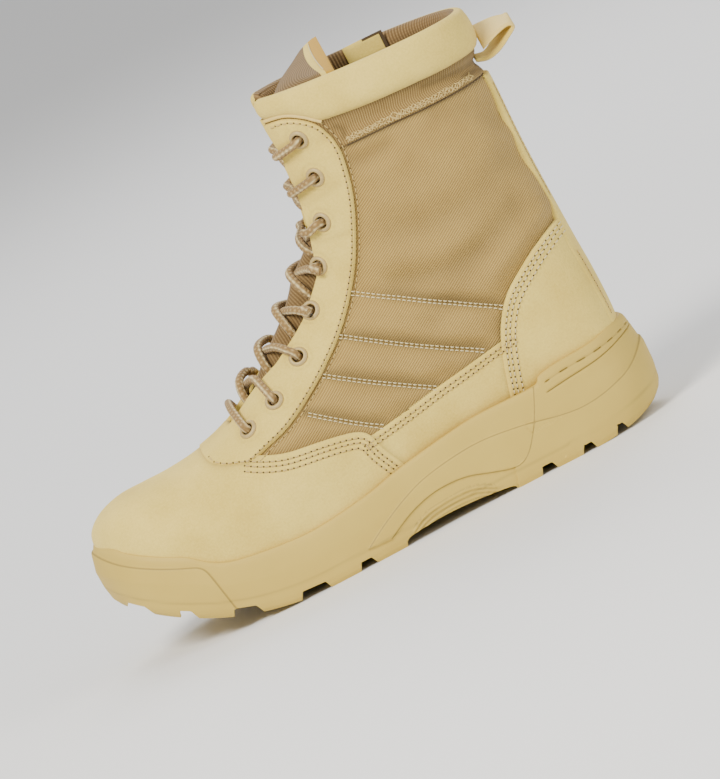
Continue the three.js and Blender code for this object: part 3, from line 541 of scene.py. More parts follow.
def srgb(red, green, blue):
    """A colour seen by eye, from 0 to 255, as the linear colour that Blender uses."""
    linear = [((c / 255 + 0.055) / 1.055) ** 2.4 if c > 10 else c / 3295 for c in (red, green, blue)]
    return (*linear, 1.0)


def finish_of(name, **constants):
    """A new material, its shader, and a wire from which other nodes are made."""
    made = bpy.data.materials.new(name)
    made.use_nodes = True
    shader = made.node_tree.nodes["Principled BSDF"]
    for socket, value in constants.items():
        shader.inputs[socket.replace("_", " ")].default_value = value
    place = Wire(made.node_tree, made.node_tree.nodes.new("ShaderNodeTexCoord").outputs["Object"])
    return made, shader, place


def drive(material, shader, **wires):
    for socket, wire in wires.items():
        material.node_tree.links.new(wire.socket, shader.inputs[socket.replace("_", " ")])


print("finishes are written with", Wire.__name__)

# %% [markdown]
# Suede is leather brushed until its fibres stand up. It has no shine, a fine grain of nap whose
# colour is also painted darker in its hollows as shade, and broad pale and dark clouds where it was
# stroked. A piece can carry an attribute called shade, which paints shade into folds and onto the
# ground beside a seam.

# %% Suede
SHEEN = 0.12


def noise(place, scale, detail=2.0, rough=0.5):
    """Noise from 0 to 1. The scale is how many of its patches lie along a metre."""
    return place.node("ShaderNodeTexNoise", {}, 0, Vector=place, Scale=scale, Detail=detail,
                      Roughness=rough)


def shade_of(place):
    return place.node("ShaderNodeAttribute", {"attribute_name": "shade"}, "Fac")


def with_shade(place, base, dark, amount):
    """The base colour, which goes towards a dark one where the piece's shade is high."""
    return (1 - amount * shade_of(place)).blend(dark, base)


def bump(place, height, strength, distance):
    return place.node("ShaderNodeBump", {}, 0, Strength=strength, Distance=distance, Height=height)


def suede_finish(name, pale, dark):
    made, shader, place = finish_of(name, Sheen_Weight=SHEEN, Sheen_Roughness=0.6,
                                    Specular_IOR_Level=0.15)
    clouds = noise(place, scale=34.0, detail=3.0)
    nap = noise(place, scale=900.0, detail=3.0, rough=0.7)
    pores = noise(place, scale=2600.0, detail=1.0)
    # The nap noise darkens the colour where its bump is low, which paints shade into its hollows.
    stroke = 0.55 * clouds + 0.45 * nap
    contrast = stroke.node("ShaderNodeMapRange", {}, 0, Value=stroke, From_Min=0.36, From_Max=0.64)
    base = contrast.blend(dark, pale)
    shaded = with_shade(place, base, (0.08, 0.055, 0.025, 1), 0.6)
    relief = nap + 0.6 * pores
    drive(made, shader, Base_Color=shaded, Roughness=0.86 + 0.12 * nap,
          Normal=bump(place, relief, strength=0.55, distance=0.0004))
    return made


suede = suede_finish("suede", srgb(232, 206, 108), srgb(212, 184, 86))
print("made", suede.name)

# %% [markdown]
# The quarter is woven nylon: a close twill of thick yarns, a little shiny, with shade painted
# into its colour between the yarns. Its yarns run at a slant, so two waves across each other, laid
# out as seen from the side, give the weave. The mesh carries that lay-out as a map called weave, in
# metres.

# %% Woven nylon
def weave_map(place):
    return place.node("ShaderNodeUVMap", {"uv_map": "weave"}, 0)


def stripes(place, vector, pitch, turn, sharp=1.0):
    """Soft stripes that repeat after pitch metres, turned in the plane of the map."""
    turned = place.node("ShaderNodeMapping", {"vector_type": "POINT"}, 0, Vector=vector,
                        Rotation=(0, 0, math.radians(turn)), Scale=1 / pitch)
    x = place.node("ShaderNodeSeparateXYZ", {}, 0, Vector=turned)
    wave = place.node("ShaderNodeMath", {"operation": "SINE"}, 0, Value=x * (2 * math.pi))
    return (0.5 + 0.5 * wave) ** sharp


def nylon_finish():
    made, shader, place = finish_of("nylon", Specular_IOR_Level=0.35, Sheen_Weight=0.1)
    weave = weave_map(place)
    slant = stripes(place, weave, pitch=0.0012, turn=58)
    yarn = stripes(place, weave, pitch=0.0009, turn=-32)
    cloth = 0.6 * slant + 0.4 * yarn * slant
    clouds = noise(place, scale=60.0, detail=3.0)
    # The colour is darker where the weave's bump is low: painted shade between the yarns.
    tone = 0.75 * cloth + 0.25 * clouds
    base = tone.blend(srgb(134, 102, 46), srgb(204, 173, 94))
    shaded = with_shade(place, base, (0.05, 0.035, 0.015, 1), 0.75)
    drive(made, shader, Base_Color=shaded, Roughness=0.72 - 0.15 * cloth,
          Normal=bump(place, cloth, strength=0.7, distance=0.0005))
    return made


nylon = nylon_finish()
print("made", nylon.name)

# %% [markdown]
# The other finishes are simpler: the ribbed band, the brown lining, the rubber, the painted rings,
# the braided lace, the stitching thread and a smooth trim leather.

# %% Band, lining, rubber, paint, lace, thread and trim
def ribbed_finish(name, pale, dark, pitch, turn, depth):
    made, shader, place = finish_of(name, Specular_IOR_Level=0.25, Sheen_Weight=0.1)
    ribs = stripes(place, weave_map(place), pitch, turn)
    knots = stripes(place, weave_map(place), pitch * 0.8, turn + 90)
    cloth = ribs * (0.7 + 0.3 * knots)
    clouds = noise(place, scale=80.0, detail=3.0)
    base = (0.75 * cloth + 0.25 * clouds).blend(dark, pale)
    shaded = with_shade(place, base, (0.04, 0.028, 0.012, 1), 0.75)
    drive(made, shader, Base_Color=shaded, Roughness=0.88 - 0.1 * cloth,
          Normal=bump(place, cloth, strength=0.8, distance=depth))
    return made


def rubber_finish():
    made, shader, place = finish_of("rubber", Specular_IOR_Level=0.25)
    clouds = noise(place, scale=26.0, detail=3.0)
    grain = noise(place, scale=1500.0)
    base = clouds.blend(srgb(190, 161, 74), srgb(208, 181, 90))
    shaded = with_shade(place, base, (0.06, 0.042, 0.02, 1), 0.7)
    drive(made, shader, Base_Color=shaded, Roughness=0.52 + 0.16 * clouds,
          Normal=bump(place, grain, strength=0.12, distance=0.0003))
    return made


def lace_finish():
    made, shader, place = finish_of("lace", Specular_IOR_Level=0.25, Sheen_Weight=0.15)
    weave = weave_map(place)
    strands = [stripes(place, weave, pitch=0.0023, turn=turn) for turn in (40, -40)]
    braid = strands[0] * strands[1]
    stripe = stripes(place, weave, pitch=0.0047, turn=90, sharp=5.0)
    fleck = stripe * (0.45 + 0.55 * stripes(place, weave, pitch=0.0034, turn=0))
    base = braid.blend(srgb(134, 106, 62), srgb(182, 152, 100))
    flecked = fleck.blend(base, srgb(214, 196, 146))
    drive(made, shader, Base_Color=flecked, Roughness=0.9 - 0.1 * braid,
          Normal=bump(place, braid, strength=0.8, distance=0.0006))
    return made


PALER, DARKER = 1.12, 0.84


def plain_finish(name, colour, roughness, grain, depth, **constants):
    made, shader, place = finish_of(name, **constants)
    fine = noise(place, grain)
    pale = tuple(min(1.0, c * PALER) for c in colour[:3]) + (1.0,)
    dark = tuple(c * DARKER for c in colour[:3]) + (1.0,)
    drive(made, shader, Base_Color=fine.blend(dark, pale), Roughness=roughness + 0.1 * fine,
          Normal=bump(place, fine, strength=0.4, distance=depth))
    return made


band_cloth = ribbed_finish("band_cloth", srgb(186, 156, 92), srgb(112, 84, 40),
                           pitch=0.0013, turn=0, depth=0.0005)
lining_cloth = ribbed_finish("lining_cloth", srgb(158, 128, 82), srgb(96, 72, 40),
                             pitch=0.0018, turn=0, depth=0.0006)
tongue_cloth = ribbed_finish("tongue_cloth", srgb(150, 122, 78), srgb(96, 74, 42),
                             pitch=0.0016, turn=30, depth=0.0004)
rubber = rubber_finish()
lace_cord = lace_finish()
thread = plain_finish("thread", srgb(212, 196, 148), 0.7, grain=2500.0, depth=0.0001)
thread_tan = plain_finish("thread_tan", srgb(200, 174, 108), 0.7, grain=2500.0, depth=0.0001)
# One dark finish for painted shade (needle holes, the gap under the band, the tab's right edge) and
# for the tab's dark binding.
shade_and_binding_dark = plain_finish("painted_shade_and_binding", srgb(74, 58, 36), 0.9, grain=900.0, depth=0.0001)
painted = plain_finish("painted_metal", srgb(180, 157, 102), 0.45, grain=700.0, depth=0.00005,
                       Metallic=0.1)
trim = plain_finish("trim_leather", srgb(222, 194, 112), 0.6, grain=1200.0, depth=0.0002)
tongue_trim = plain_finish("tongue_trim", srgb(186, 142, 22), 0.7, grain=1200.0, depth=0.0002)
footbed = plain_finish("footbed_cloth", srgb(120, 96, 60), 0.9, grain=1200.0, depth=0.0003)
print(len(bpy.data.materials), "materials")

# %% [markdown]
# ## From corners to pieces
#
# A piece is made from an array of corners in millimetres and an array of faces. It gets its
# material and its place on the frame's one body.

# %% Make a piece
def piece(name, points, faces, material, slot, stands_for=(), shade=None, weave=None):
    mesh = bpy.data.meshes.new(name)
    mesh.from_pydata((np.asarray(points) * MM).tolist(), [], [list(map(int, f)) for f in faces])
    mesh.polygons.foreach_set("use_smooth", [True] * len(mesh.polygons))
    corner_index = np.zeros(len(mesh.loops), int)
    mesh.loops.foreach_get("vertex_index", corner_index)
    if weave is not None:
        layer = mesh.uv_layers.new(name="weave")
        layer.data.foreach_set("uv", (np.asarray(weave)[corner_index] * MM).ravel())
    shades = mesh.attributes.new("shade", "FLOAT", "POINT")
    if shade is not None:
        shades.data.foreach_set("value", np.asarray(shade, np.float32))
    mesh.materials.append(material)
    made = bpy.data.objects.new(name, mesh)
    bpy.context.scene.collection.objects.link(made)
    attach(made, "root")
    if stands_for:
        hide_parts(*stands_for)
    print(name, len(mesh.polygons), "faces")
    return made


def finish_faces(made, more, kinds):
    """Further finishes for a piece, and the number of the finish of each face."""
    for material in more:
        made.data.materials.append(material)
    made.data.polygons.foreach_set("material_index", kinds.astype(np.int32))


def circle_of(count, side, up):
    angles = np.arange(count) / count * 2 * np.pi
    return np.cos(angles)[:, None] * side + np.sin(angles)[:, None] * up


def ring_faces(rings, sides):
    """The numbers of the points in rings of that many sides, and the faces between the rings."""
    index = np.arange(rings * sides).reshape(rings, sides)
    follow = np.roll(index, -1, axis=1)
    corners = (index[:-1], index[1:], follow[1:], follow[:-1])
    return index, np.column_stack([corner.ravel() for corner in corners])


def face_outwards(points, triangles, away_from):
    """Turns all triangles round if they face towards the inside."""
    p, q, r = (points[triangles[:, k]] for k in range(3))
    normal = np.cross(q - p, r - p)
    outward = (p + q + r) / 3 - away_from
    return triangles if (normal * outward).sum() > 0 else triangles[:, ::-1]


def rounded(depth, radius, thickness):
    """Height of a cut edge of cloth or leather, rounded over its last part."""
    t = np.clip(1 - depth / radius, 0, 1)
    return thickness * np.sqrt(np.clip(1 - t * t, 0, 1))


EDGE_LINES = (0.12, 0.4, 0.9, 1.8)
EDGE_RADIUS = 1.0
SEAT = 0.35
MIDDLE = np.array([0.0, 0.0, 90.0])
surfaces = []


def cover(name, field, thickness, material, slot, stands_for, relief=None, shade=None,
          weave=None):
    """A layer on the last, cut to where the field is above 0, with a rounded edge."""
    corners, triangles = cut_to(*base_net, field, EDGE_LINES)
    depth = field(corners)
    height = rounded(depth, EDGE_RADIUS, thickness) - SEAT * (depth < 1e-6)
    if relief is not None:
        height = height + relief(corners, depth)
    points = last_points(corners[:, 0], corners[:, 1], height)
    triangles = face_outwards(points, triangles, MIDDLE)
    shades = None if shade is None else shade(corners)
    made = piece(name, points, triangles, material, slot, stands_for, shades,
                 (weave or side_map)(corners, points))
    surfaces.append(BVHTree.FromPolygons(points.tolist(), triangles.tolist()))
    return made


def side_map(_, points):
    return points[:, [0, 2]]


print("an edge is cut at", EDGE_LINES, "mm from its line")

# %% [markdown]
# ## The sole
#
# The real sole is one cup of rubber, moulded with a toe bumper, waves and ribs on its sides and
# deep lugs below. Its side is a net that runs round the outline and up to the feather edge, where
# it meets the upper. The steps are cut into the net along their edges, and then pushed out.

# %% The sole's outline and heights
SOLE_OUTLINE = [
    [0, 0.108], [0.018, -0.306], [0.056, -0.613], [0.121, -0.838], [0.204, -0.973],
    [0.301, -1.009], [0.387, -0.982], [0.484, -0.91], [0.58, -0.838], [0.661, -0.793],
    [0.757, -0.757], [0.854, -0.739], [0.934, -0.604], [0.982, -0.324], [1, 0], [0.982, 0.324],
    [0.928, 0.613], [0.838, 0.721], [0.741, 0.694], [0.645, 0.676], [0.564, 0.694],
    [0.468, 0.757], [0.371, 0.874], [0.291, 0.964], [0.211, 0.982], [0.13, 0.919],
    [0.056, 0.739], [0.014, 0.468],
]
FEATHER_EDGE = [
    [0.005, 1.99], [0.031, 2.06], [0.05, 2.05], [0.082, 2.072], [0.114, 2.09], [0.146, 2.09],
    [0.175, 1.974], [0.204, 1.887], [0.243, 1.917], [0.307, 1.95], [0.371, 1.933],
    [0.468, 2.061], [0.532, 2.182], [0.629, 2.309], [0.693, 2.364], [0.796, 2.358],
    [0.815, 2.473], [0.854, 2.53], [0.918, 2.545], [0.966, 2.606], [1, 2.621],
]
LUG_DEPTH = 4.5
HEEL_RISE = 8
HEEL_RISE_FROM = 0.844
feather = edge(FEATHER_EDGE, 200)
outline_points = np.array([[along(a), y * BALL_WIDTH / 2] for a, y in SOLE_OUTLINE])


def around(values, place):
    """A smooth closed curve through the values, at places from 0 to 1 round it."""
    count = len(values)
    spot = np.mod(place, 1) * count
    i = np.floor(spot).astype(int)
    t = (spot - i)[:, None]
    a, b, c, d = (values[np.mod(i + k, count)] for k in (-1, 0, 1, 2))
    return b + 0.5 * t * (c - a + t * (2 * a - 5 * b + 4 * c - d + t * (3 * (b - c) + d - a)))


OUTLINE_STEP = 0.002


def outline_at(place):
    """A point of the sole's outline from above, and its way out."""
    point = around(outline_points, place)
    tangent = around(outline_points, place + OUTLINE_STEP)
    tangent = tangent - around(outline_points, place - OUTLINE_STEP)
    normal = unit(np.column_stack([tangent[:, 1], -tangent[:, 0]]))
    middle = np.array([outline_points[:, 0].mean(), 0])
    flip = np.sign((normal * (point - middle)).sum(1, keepdims=True))
    return point, normal * np.where(flip == 0, 1, flip)


def tread_height(x):
    start = along(HEEL_RISE_FROM)
    rise = np.clip((x - start) / (along(1) - start), 0, None)
    return spring(x) + HEEL_RISE * rise**2


def feather_height(x):
    return np.interp(x, feather[:, 0], feather[:, 1])


SOLE_PROFILE = {
    "up": [0, 0.06, 0.15, 0.35, 0.6, 0.85, 0.96, 1],
    "flank": [2, 0.9, 0.3, 0.1, 0.1, 0.9, 1.5, 2.4],
    "toe": [5, 3, 1.6, 0.4, 0, 1.2, 2, 3],
    "heel": [5, 3, 1.5, 0.3, 0, 1, 1.4, 2],
}


def wall_points(corners, rise=0.0):
    """Points of the sole's side: a place round the outline and a share of its height."""
    place, up = corners.T
    point, normal = outline_at(place)
    end = np.where(normal[:, 0] < 0, *(np.interp(up, SOLE_PROFILE["up"], SOLE_PROFILE[n])
                                       for n in ("toe", "heel")))
    inset = np.interp(up, SOLE_PROFILE["up"], SOLE_PROFILE["flank"]) + end * normal[:, 0] ** 2
    end_foot = np.where(normal[:, 0] < 0, SOLE_PROFILE["toe"][0], SOLE_PROFILE["heel"][0])
    foot_inset = SOLE_PROFILE["flank"][0] + end_foot * normal[:, 0] ** 2
    low = tread_height(point[:, 0] - normal[:, 0] * foot_inset)
    high = feather_height(point[:, 0])
    at = point + normal * (rise - inset)[:, None]
    return np.column_stack([at, low + (high - low) * up])


print("sole from", outline_points[:, 0].min().round(1), "to", outline_points[:, 0].max().round(1))

# %% [markdown]
# The steps of the sole's side are regions seen from the side. Each one stands out by its own
# amount, with a short slope at its edge. Thin ribs follow the arch, and a row of short dashes
# runs round the heel.

# %% Steps, ribs and gaps between the lugs
BUMPER_EDGE = [
    [-0.04, 1.92], [0.018, 1.805], [0.05, 1.768], [0.082, 1.793], [0.114, 1.827],
    [0.143, 1.858], [0.159, 1.85], [0.168, 1.724], [0.173, 1.423], [0.18, 0.792], [0.186, 0.2],
]
WAVE_TOP = [
    [0.429, 0.581], [0.468, 1.03], [0.516, 1.455], [0.564, 1.758], [0.629, 1.939],
    [0.686, 1.964], [0.757, 1.788], [0.822, 1.533], [0.867, 1.455], [0.918, 1.576],
    [0.969, 1.915], [1.04, 2.5],
]
WAVE_FOOT = [
    [0.471, 0.516], [0.516, 0.955], [0.558, 1.188], [0.596, 1.242], [0.635, 1.152],
    [0.677, 0.877], [0.712, 0.697], [0.738, 0.871], [0.764, 1.455], [0.783, 2.03], [0.81, 2.6],
]
HEEL_LINE = [[0.815, 2.19], [0.854, 2.23], [0.918, 2.275], [0.973, 2.37], [1.04, 2.5]]
HEEL_DASHES = [[0.822, 2.35], [0.854, 2.385], [0.918, 2.40], [0.973, 2.45], [1.04, 2.52]]
ARCH_RIB = [[0.506, 0.33], [0.539, 0.67], [0.59, 0.79], [0.635, 0.71], [0.672, 0.36]]
ARCH_LINE = [[0.49, 0], [0.5, 0.26], [0.564, 0.36], [0.629, 0.31], [0.69, 0.16], [0.699, 0]]
LUG_GAPS = [
    [0.021, 0.028, 0.05, 0.063], [0.095, 0.1, 0.116, 0.124], [0.175, 0.182, 0.217, 0.227],
    [0.288, 0.297, 0.339, 0.346], [0.4, 0.407, 0.426, 0.436], [0.744, 0.752, 0.77, 0.777],
    [0.822, 0.83, 0.844, 0.85], [0.887, 0.895, 0.904, 0.912],
]
BUMPER_STEP, WAVE_STEP, HEEL_BLOCK_STEP, BAND_STEP = 1.3, 0.9, 1.6, 0.7
RIB_STEP, RIB_PITCH, RIB_COUNT, RIB_FADE = 0.8, 2.4, 3, 4
STEP_SLOPE = 0.6

bumper = np.vstack(
    [edge(BUMPER_EDGE), corner(0.186, -3), corner(PAST_TOE, -3), corner(PAST_TOE, 3)]
)
wave = np.vstack([edge(WAVE_TOP[:8]), edge(WAVE_FOOT[:9])[::-1]])
heel_block = np.vstack([
    edge(WAVE_TOP[6:]), corner(1.2, -1), corner(0.69, -1), edge(WAVE_FOOT[6:9]),
])
heel_band = np.vstack([edge(WAVE_FOOT[8:]), corner(PAST_HEEL, 3), edge(WAVE_TOP[7:])[::-1]])
sole_steps = [
    (BUMPER_STEP, bumper),
    (WAVE_STEP, wave),
    (HEEL_BLOCK_STEP, heel_block),
    (BAND_STEP, heel_band),
]
arch_rib = edge(ARCH_RIB, 30)


def above_line(points, line):
    """Height over a line that runs along the boot, in the side view."""
    return points[:, 1] - np.interp(points[:, 0], line[:, 0], line[:, 1])


def rib_wave(points):
    """How high the ribs stand, and how deep the valleys between them are, from 0 to 1."""
    below = -above_line(points, arch_rib)
    within = (below > -RIB_PITCH / 2) & (below < RIB_PITCH * (RIB_COUNT - 0.5))
    first, last = arch_rib[0, 0], arch_rib[-1, 0]
    ends = smooth(first - RIB_FADE, first + RIB_FADE, points[:, 0])
    ends = ends * smooth(last + RIB_FADE, last - RIB_FADE, points[:, 0])
    wave = 0.5 + 0.5 * np.cos(2 * np.pi * below / RIB_PITCH)
    return wave * within * ends, (1 - wave) * within * ends


def gap_depth(points):
    """How far a point in the side view lies inside a gap between lugs, or in the arch."""
    depth = np.full(len(points), FAR_OUTSIDE)
    for shares in LUG_GAPS:
        a, b, c, d = along(shares)
        roof = [tread_height(x) + LUG_DEPTH for x in (b, c)]
        foot = [tread_height(x) - LUG_DEPTH for x in (a, d)]
        slope = LUG_DEPTH / 3
        gap = np.array([[a - slope, foot[0]], [b, roof[0]], [c, roof[1]], [d + slope, foot[1]]])
        depth = np.maximum(depth, inside_outline(points, gap))
    arch = np.vstack([edge(ARCH_LINE, 30), corner(0.72, -1), corner(0.47, -1)])
    return np.maximum(depth, inside_outline(points, arch))


def wall_rise(points):
    rise = np.zeros(len(points))
    for step, outline in sole_steps:
        rise = np.maximum(rise, step * smooth(-STEP_SLOPE, 0, inside_outline(points, outline)))
    return rise + RIB_STEP * rib_wave(points)[0]


def wall_side(corners):
    return wall_points(corners)[:, [0, 2]]


print(len(LUG_GAPS), "gaps between lugs")

# %% The side of the sole
STATIONS = 620
LEVELS = 30
DASH_PITCH = 11.0
DASH_SHARE = 0.45
GROOVE_HALF = 0.5
GROOVE_DEPTH = 0.9
LINE_HALF = 0.5
LINE_DEPTH = 0.4
LUG_LINE_RISE = 9.0
LUG_LINE_HALF = 0.6
DASH_FAINT = 0.25
GROOVES_FROM = (0.81, 0.82)
SOLE_INSIDE = np.array([0, 0, 30.0])
wall_net = net((np.arange(STATIONS + 1)) / STATIONS, np.linspace(0, 1, LEVELS + 1))
heel_line = edge(HEEL_LINE, 40)
heel_dashes = edge(HEEL_DASHES, 40)
step_lines = [edge(WAVE_TOP, 80), edge(WAVE_FOOT, 80), edge(BUMPER_EDGE, 60)]


def step_line_distance(corners):
    points = wall_side(corners)
    return np.min([line_distance(points, line) for line in step_lines], axis=0)


def split_only(mesh, field, lines):
    for level in lines:
        mesh = split(*mesh, field(mesh[0]) - level)
    return mesh


side = cut_to(*wall_net, lambda c: -gap_depth(wall_side(c)))
for step, outline in sole_steps:
    side = split_only(side, lambda c, o=outline: inside_outline(wall_side(c), o), (-STEP_SLOPE, 0))
rib_levels = -RIB_PITCH / 2 * np.arange(-1, 2 * RIB_COUNT)
side = split_only(side, lambda c: above_line(wall_side(c), arch_rib), rib_levels)
for line in (heel_line, heel_dashes):
    side = split_only(side, lambda c, o=line: above_line(wall_side(c), o),
                      (-GROOVE_HALF, -GROOVE_HALF / 4, GROOVE_HALF / 4, GROOVE_HALF))
side = split_only(side, step_line_distance, (LINE_HALF,))
corners, triangles = side
flat = wall_side(corners)
rise = wall_rise(flat)
behind = smooth(*along(GROOVES_FROM), flat[:, 0])
around_places = np.linspace(0, 1, 4 * STATIONS)
around_length = travelled(outline_at(around_places)[0])
dash_place = np.interp(corners[:, 0], around_places, around_length)
dash_on = np.where(np.mod(dash_place, DASH_PITCH) < DASH_PITCH * DASH_SHARE, 1, DASH_FAINT)
line_groove = smooth(GROOVE_HALF, GROOVE_HALF / 4, line_distance(flat, heel_line))
dash_groove = smooth(GROOVE_HALF, GROOVE_HALF / 4, line_distance(flat, heel_dashes)) * dash_on
groove = behind * np.maximum(0.8 * line_groove, dash_groove)
step_line = smooth(LINE_HALF, 0, step_line_distance(corners))
points = wall_points(corners, rise - GROOVE_DEPTH * groove - LINE_DEPTH * step_line)
triangles = face_outwards(points, triangles, SOLE_INSIDE)
# Painted shade on the sole's side: in the heel groove and dashes, along the thin step lines, on a
# faint line above the lugs and in the valleys between the arch ribs.
above_lug_line = flat[:, 1] - tread_height(flat[:, 0]) - LUG_LINE_RISE
lug_line_shade = 0.3 * np.exp(-((above_lug_line / LUG_LINE_HALF) ** 2))
valley_shade = 0.4 * rib_wave(flat)[1]
sole_shade = np.clip(0.85 * groove + 0.8 * step_line + lug_line_shade + valley_shade, 0, 1)
sole_side = (points, triangles, sole_shade)
print("side of the sole has", len(triangles), "triangles")

# %% [markdown]
# The tread is a second net that spans from one side of the outline to the other. Gaps between the
# lugs, the arch and two long channels are pushed up into it, with steep walls. A narrow ledge
# goes in under the upper at the top.

# %% The tread, the ledge and the finished sole
CHANNEL_Y = BALL_WIDTH / 5
CHANNEL_HALF = 2.5
WALL_SLOPE = 0.5
CHANNELS = [(0.13, 0.44, 1.0), (0.745, 0.91, 0.8)]
TREAD_RIM = 0.03
LEDGE_WIDTH, LEDGE_CROWN, LEDGE_DROP = 7, 0.5, 1.5
HIGH_ABOVE, DEEP_BELOW = np.array([0, 0, 300.0]), np.array([0, 0, -400.0])


def tread_base(corners):
    place, across = corners.T
    one = wall_points(np.column_stack([place, np.zeros(len(place))]))
    other = wall_points(np.column_stack([1 - place, np.zeros(len(place))]))
    return one + (other - one) * across[:, None]


def channel_depth(points):
    depth = np.full(len(points), FAR_OUTSIDE)
    for start, end, share in CHANNELS:
        beside = CHANNEL_HALF - np.abs(np.abs(points[:, 1]) - CHANNEL_Y * share)
        within = np.minimum(points[:, 0] - along(start), along(end) - points[:, 0])
        depth = np.maximum(depth, np.minimum(beside, within))
    return depth


def tread_gap(corners):
    points = tread_base(corners)
    ground = np.column_stack([points[:, 0], tread_height(points[:, 0])])
    return np.maximum(gap_depth(ground), channel_depth(points))


tread_net = net(np.arange(STATIONS // 2 + 1) / STATIONS, np.linspace(0, 1, 61))
tread = split_only(tread_net, tread_gap, (0, WALL_SLOPE))
corners, triangles = tread
points = tread_base(corners)
depth = smooth(0, WALL_SLOPE, tread_gap(corners)) * LUG_DEPTH
arch_outline = edge(ARCH_LINE, 30)
arch_lift = np.interp(points[:, 0], arch_outline[:, 0], arch_outline[:, 1], left=0, right=0)
points[:, 2] = tread_height(points[:, 0]) + np.maximum(depth, arch_lift)
edge_share = np.clip(1 - np.minimum(corners[:, 1], 1 - corners[:, 1]) / TREAD_RIM, 0, 1)
ground = np.column_stack([points[:, 0], tread_height(points[:, 0])])
_, outward = outline_at(np.where(corners[:, 1] < 0.5, corners[:, 0], 1 - corners[:, 0]))
points[:, :2] += outward * (wall_rise(ground) * edge_share)[:, None]
tread_shade = 0.45 * smooth(0, WALL_SLOPE, tread_gap(corners))
triangles = face_outwards(points, triangles, HIGH_ABOVE)
sole_tread = (points, triangles, tread_shade)

ledge_net = net(np.arange(STATIONS + 1) / STATIONS, np.linspace(0, 1, 6))
corners, triangles = ledge_net
lip = np.column_stack([corners[:, 0], np.ones(len(corners))])
lip_rise = wall_rise(wall_side(lip)) * (1 - corners[:, 1])
top = wall_points(lip, lip_rise)
_, outward = outline_at(corners[:, 0])
inward = corners[:, 1]
top[:, :2] -= outward * (LEDGE_WIDTH * inward)[:, None]
top[:, 2] += LEDGE_CROWN * np.sin(np.pi * np.minimum(1, 2 * inward)) - LEDGE_DROP * inward**2
triangles = face_outwards(top, triangles, DEEP_BELOW)
# The ledge is painted darker inwards: painted shade where it goes in under the upper.
sole_ledge = (top, triangles, 0.5 * corners[:, 1])


def joined(*parts):
    """Several sets of corners, triangles and shades as one."""
    points, triangles, shades, start = [], [], [], 0
    for p, t, s in parts:
        points.append(p)
        triangles.append(t + start)
        shades.append(s)
        start += len(p)
    return np.concatenate(points), np.concatenate(triangles), np.concatenate(shades)


points, triangles, shades = joined(sole_side, sole_tread, sole_ledge)
piece("sole", points, triangles, rubber, "rubber_tan", ["outsole"], shades)

# %% [markdown]
# ## The upper
#
# The quarter and the shaft are one layer of nylon. Quilting lines are sewn through it and its
# padding, so the cloth sinks along each line and swells in between. The lines and the swelling
# are placed as seen from the side.

# %% The nylon quarter and shaft
QUILT_LINES = [
    [[0.596, 3.793], [0.7, 3.549], [0.815, 3.28]],
    [[0.545, 3.585], [0.648, 3.329], [0.754, 3.085]],
    [[0.49, 3.415], [0.567, 3.22], [0.654, 3.012]],
    [[0.439, 3.244], [0.503, 3.061], [0.545, 2.879]],
]
QUILT_DEPTH, QUILT_HALF = 1.3, 1.7
QUILT_SWELL, SWELL_WIDTH = 2.6, 9
QUILTED_RUNGS = (3.9, 3.5)
HIDDEN_OVERLAP = 6.0
PUFF_SHADOW, PUFF_SHADOW_HALF = 2.2, 3.6
SEAM_SHADOW_HALF = 1.7
RIDGE_PLACE = 1.9
OVERLAY_SHADOW_REACH = 2.2
FOLDS = [
    {"line": [[0.68, 3.72], [0.75, 3.66], [0.83, 3.7], [0.91, 3.8]], "depth": 2.2, "half": 7},
    {"line": [[0.72, 4.02], [0.79, 3.97], [0.87, 3.98], [0.93, 4.06]], "depth": 1.4, "half": 9},
    {"line": [[0.7, 3.4], [0.76, 3.5], [0.82, 3.66]], "depth": 1.0, "half": 6},
    {"line": [[0.69, 4.5], [0.72, 4.46], [0.76, 4.47]], "depth": 1.6, "half": 5},
    {"line": [[0.87, 4.5], [0.92, 4.42], [0.95, 4.3]], "depth": 1.2, "half": 6},
]
quilt_lines = [edge(rows, 30) for rows in QUILT_LINES]
for fold in FOLDS:
    fold["points"] = edge(fold["line"], 24)


def quilt_distance(points):
    return np.min([line_distance(points, line) for line in quilt_lines], axis=0)


def bell(distance, half):
    """1 on a line, and softly down to 0 on both sides of it."""
    return np.exp(-((distance / half) ** 2))


def quilted(points):
    return smooth(*rung_height(QUILTED_RUNGS), points[:, 1])


def nylon_field(corners):
    points = side_view(corners)
    outlines = (eyestay_outline, vamp_outline, foxing_outline, counter_outline, collar_outline)
    shown = [HIDDEN_OVERLAP - inside_outline(points, o) for o in outlines]
    return np.min([off_slot(corners), *shown], axis=0)


def nylon_relief(corners, depth):
    points = side_view(corners)
    away = quilt_distance(points)
    open_cloth = smooth(HIDDEN_OVERLAP, HIDDEN_OVERLAP + 10, depth)
    swell = QUILT_SWELL * smooth(0, SWELL_WIDTH, away) * quilted(points) * open_cloth
    sink = QUILT_DEPTH * bell(away, QUILT_HALF) * quilted(points)
    relief = swell - sink * smooth(HIDDEN_OVERLAP, HIDDEN_OVERLAP + 3, depth)
    for fold in FOLDS:
        reach = line_distance(points, fold["points"]) / fold["half"]
        relief = relief - fold["depth"] * bell(reach, 1) * open_cloth
        relief = relief + 0.5 * fold["depth"] * bell(reach - RIDGE_PLACE, 1) * open_cloth
    return relief


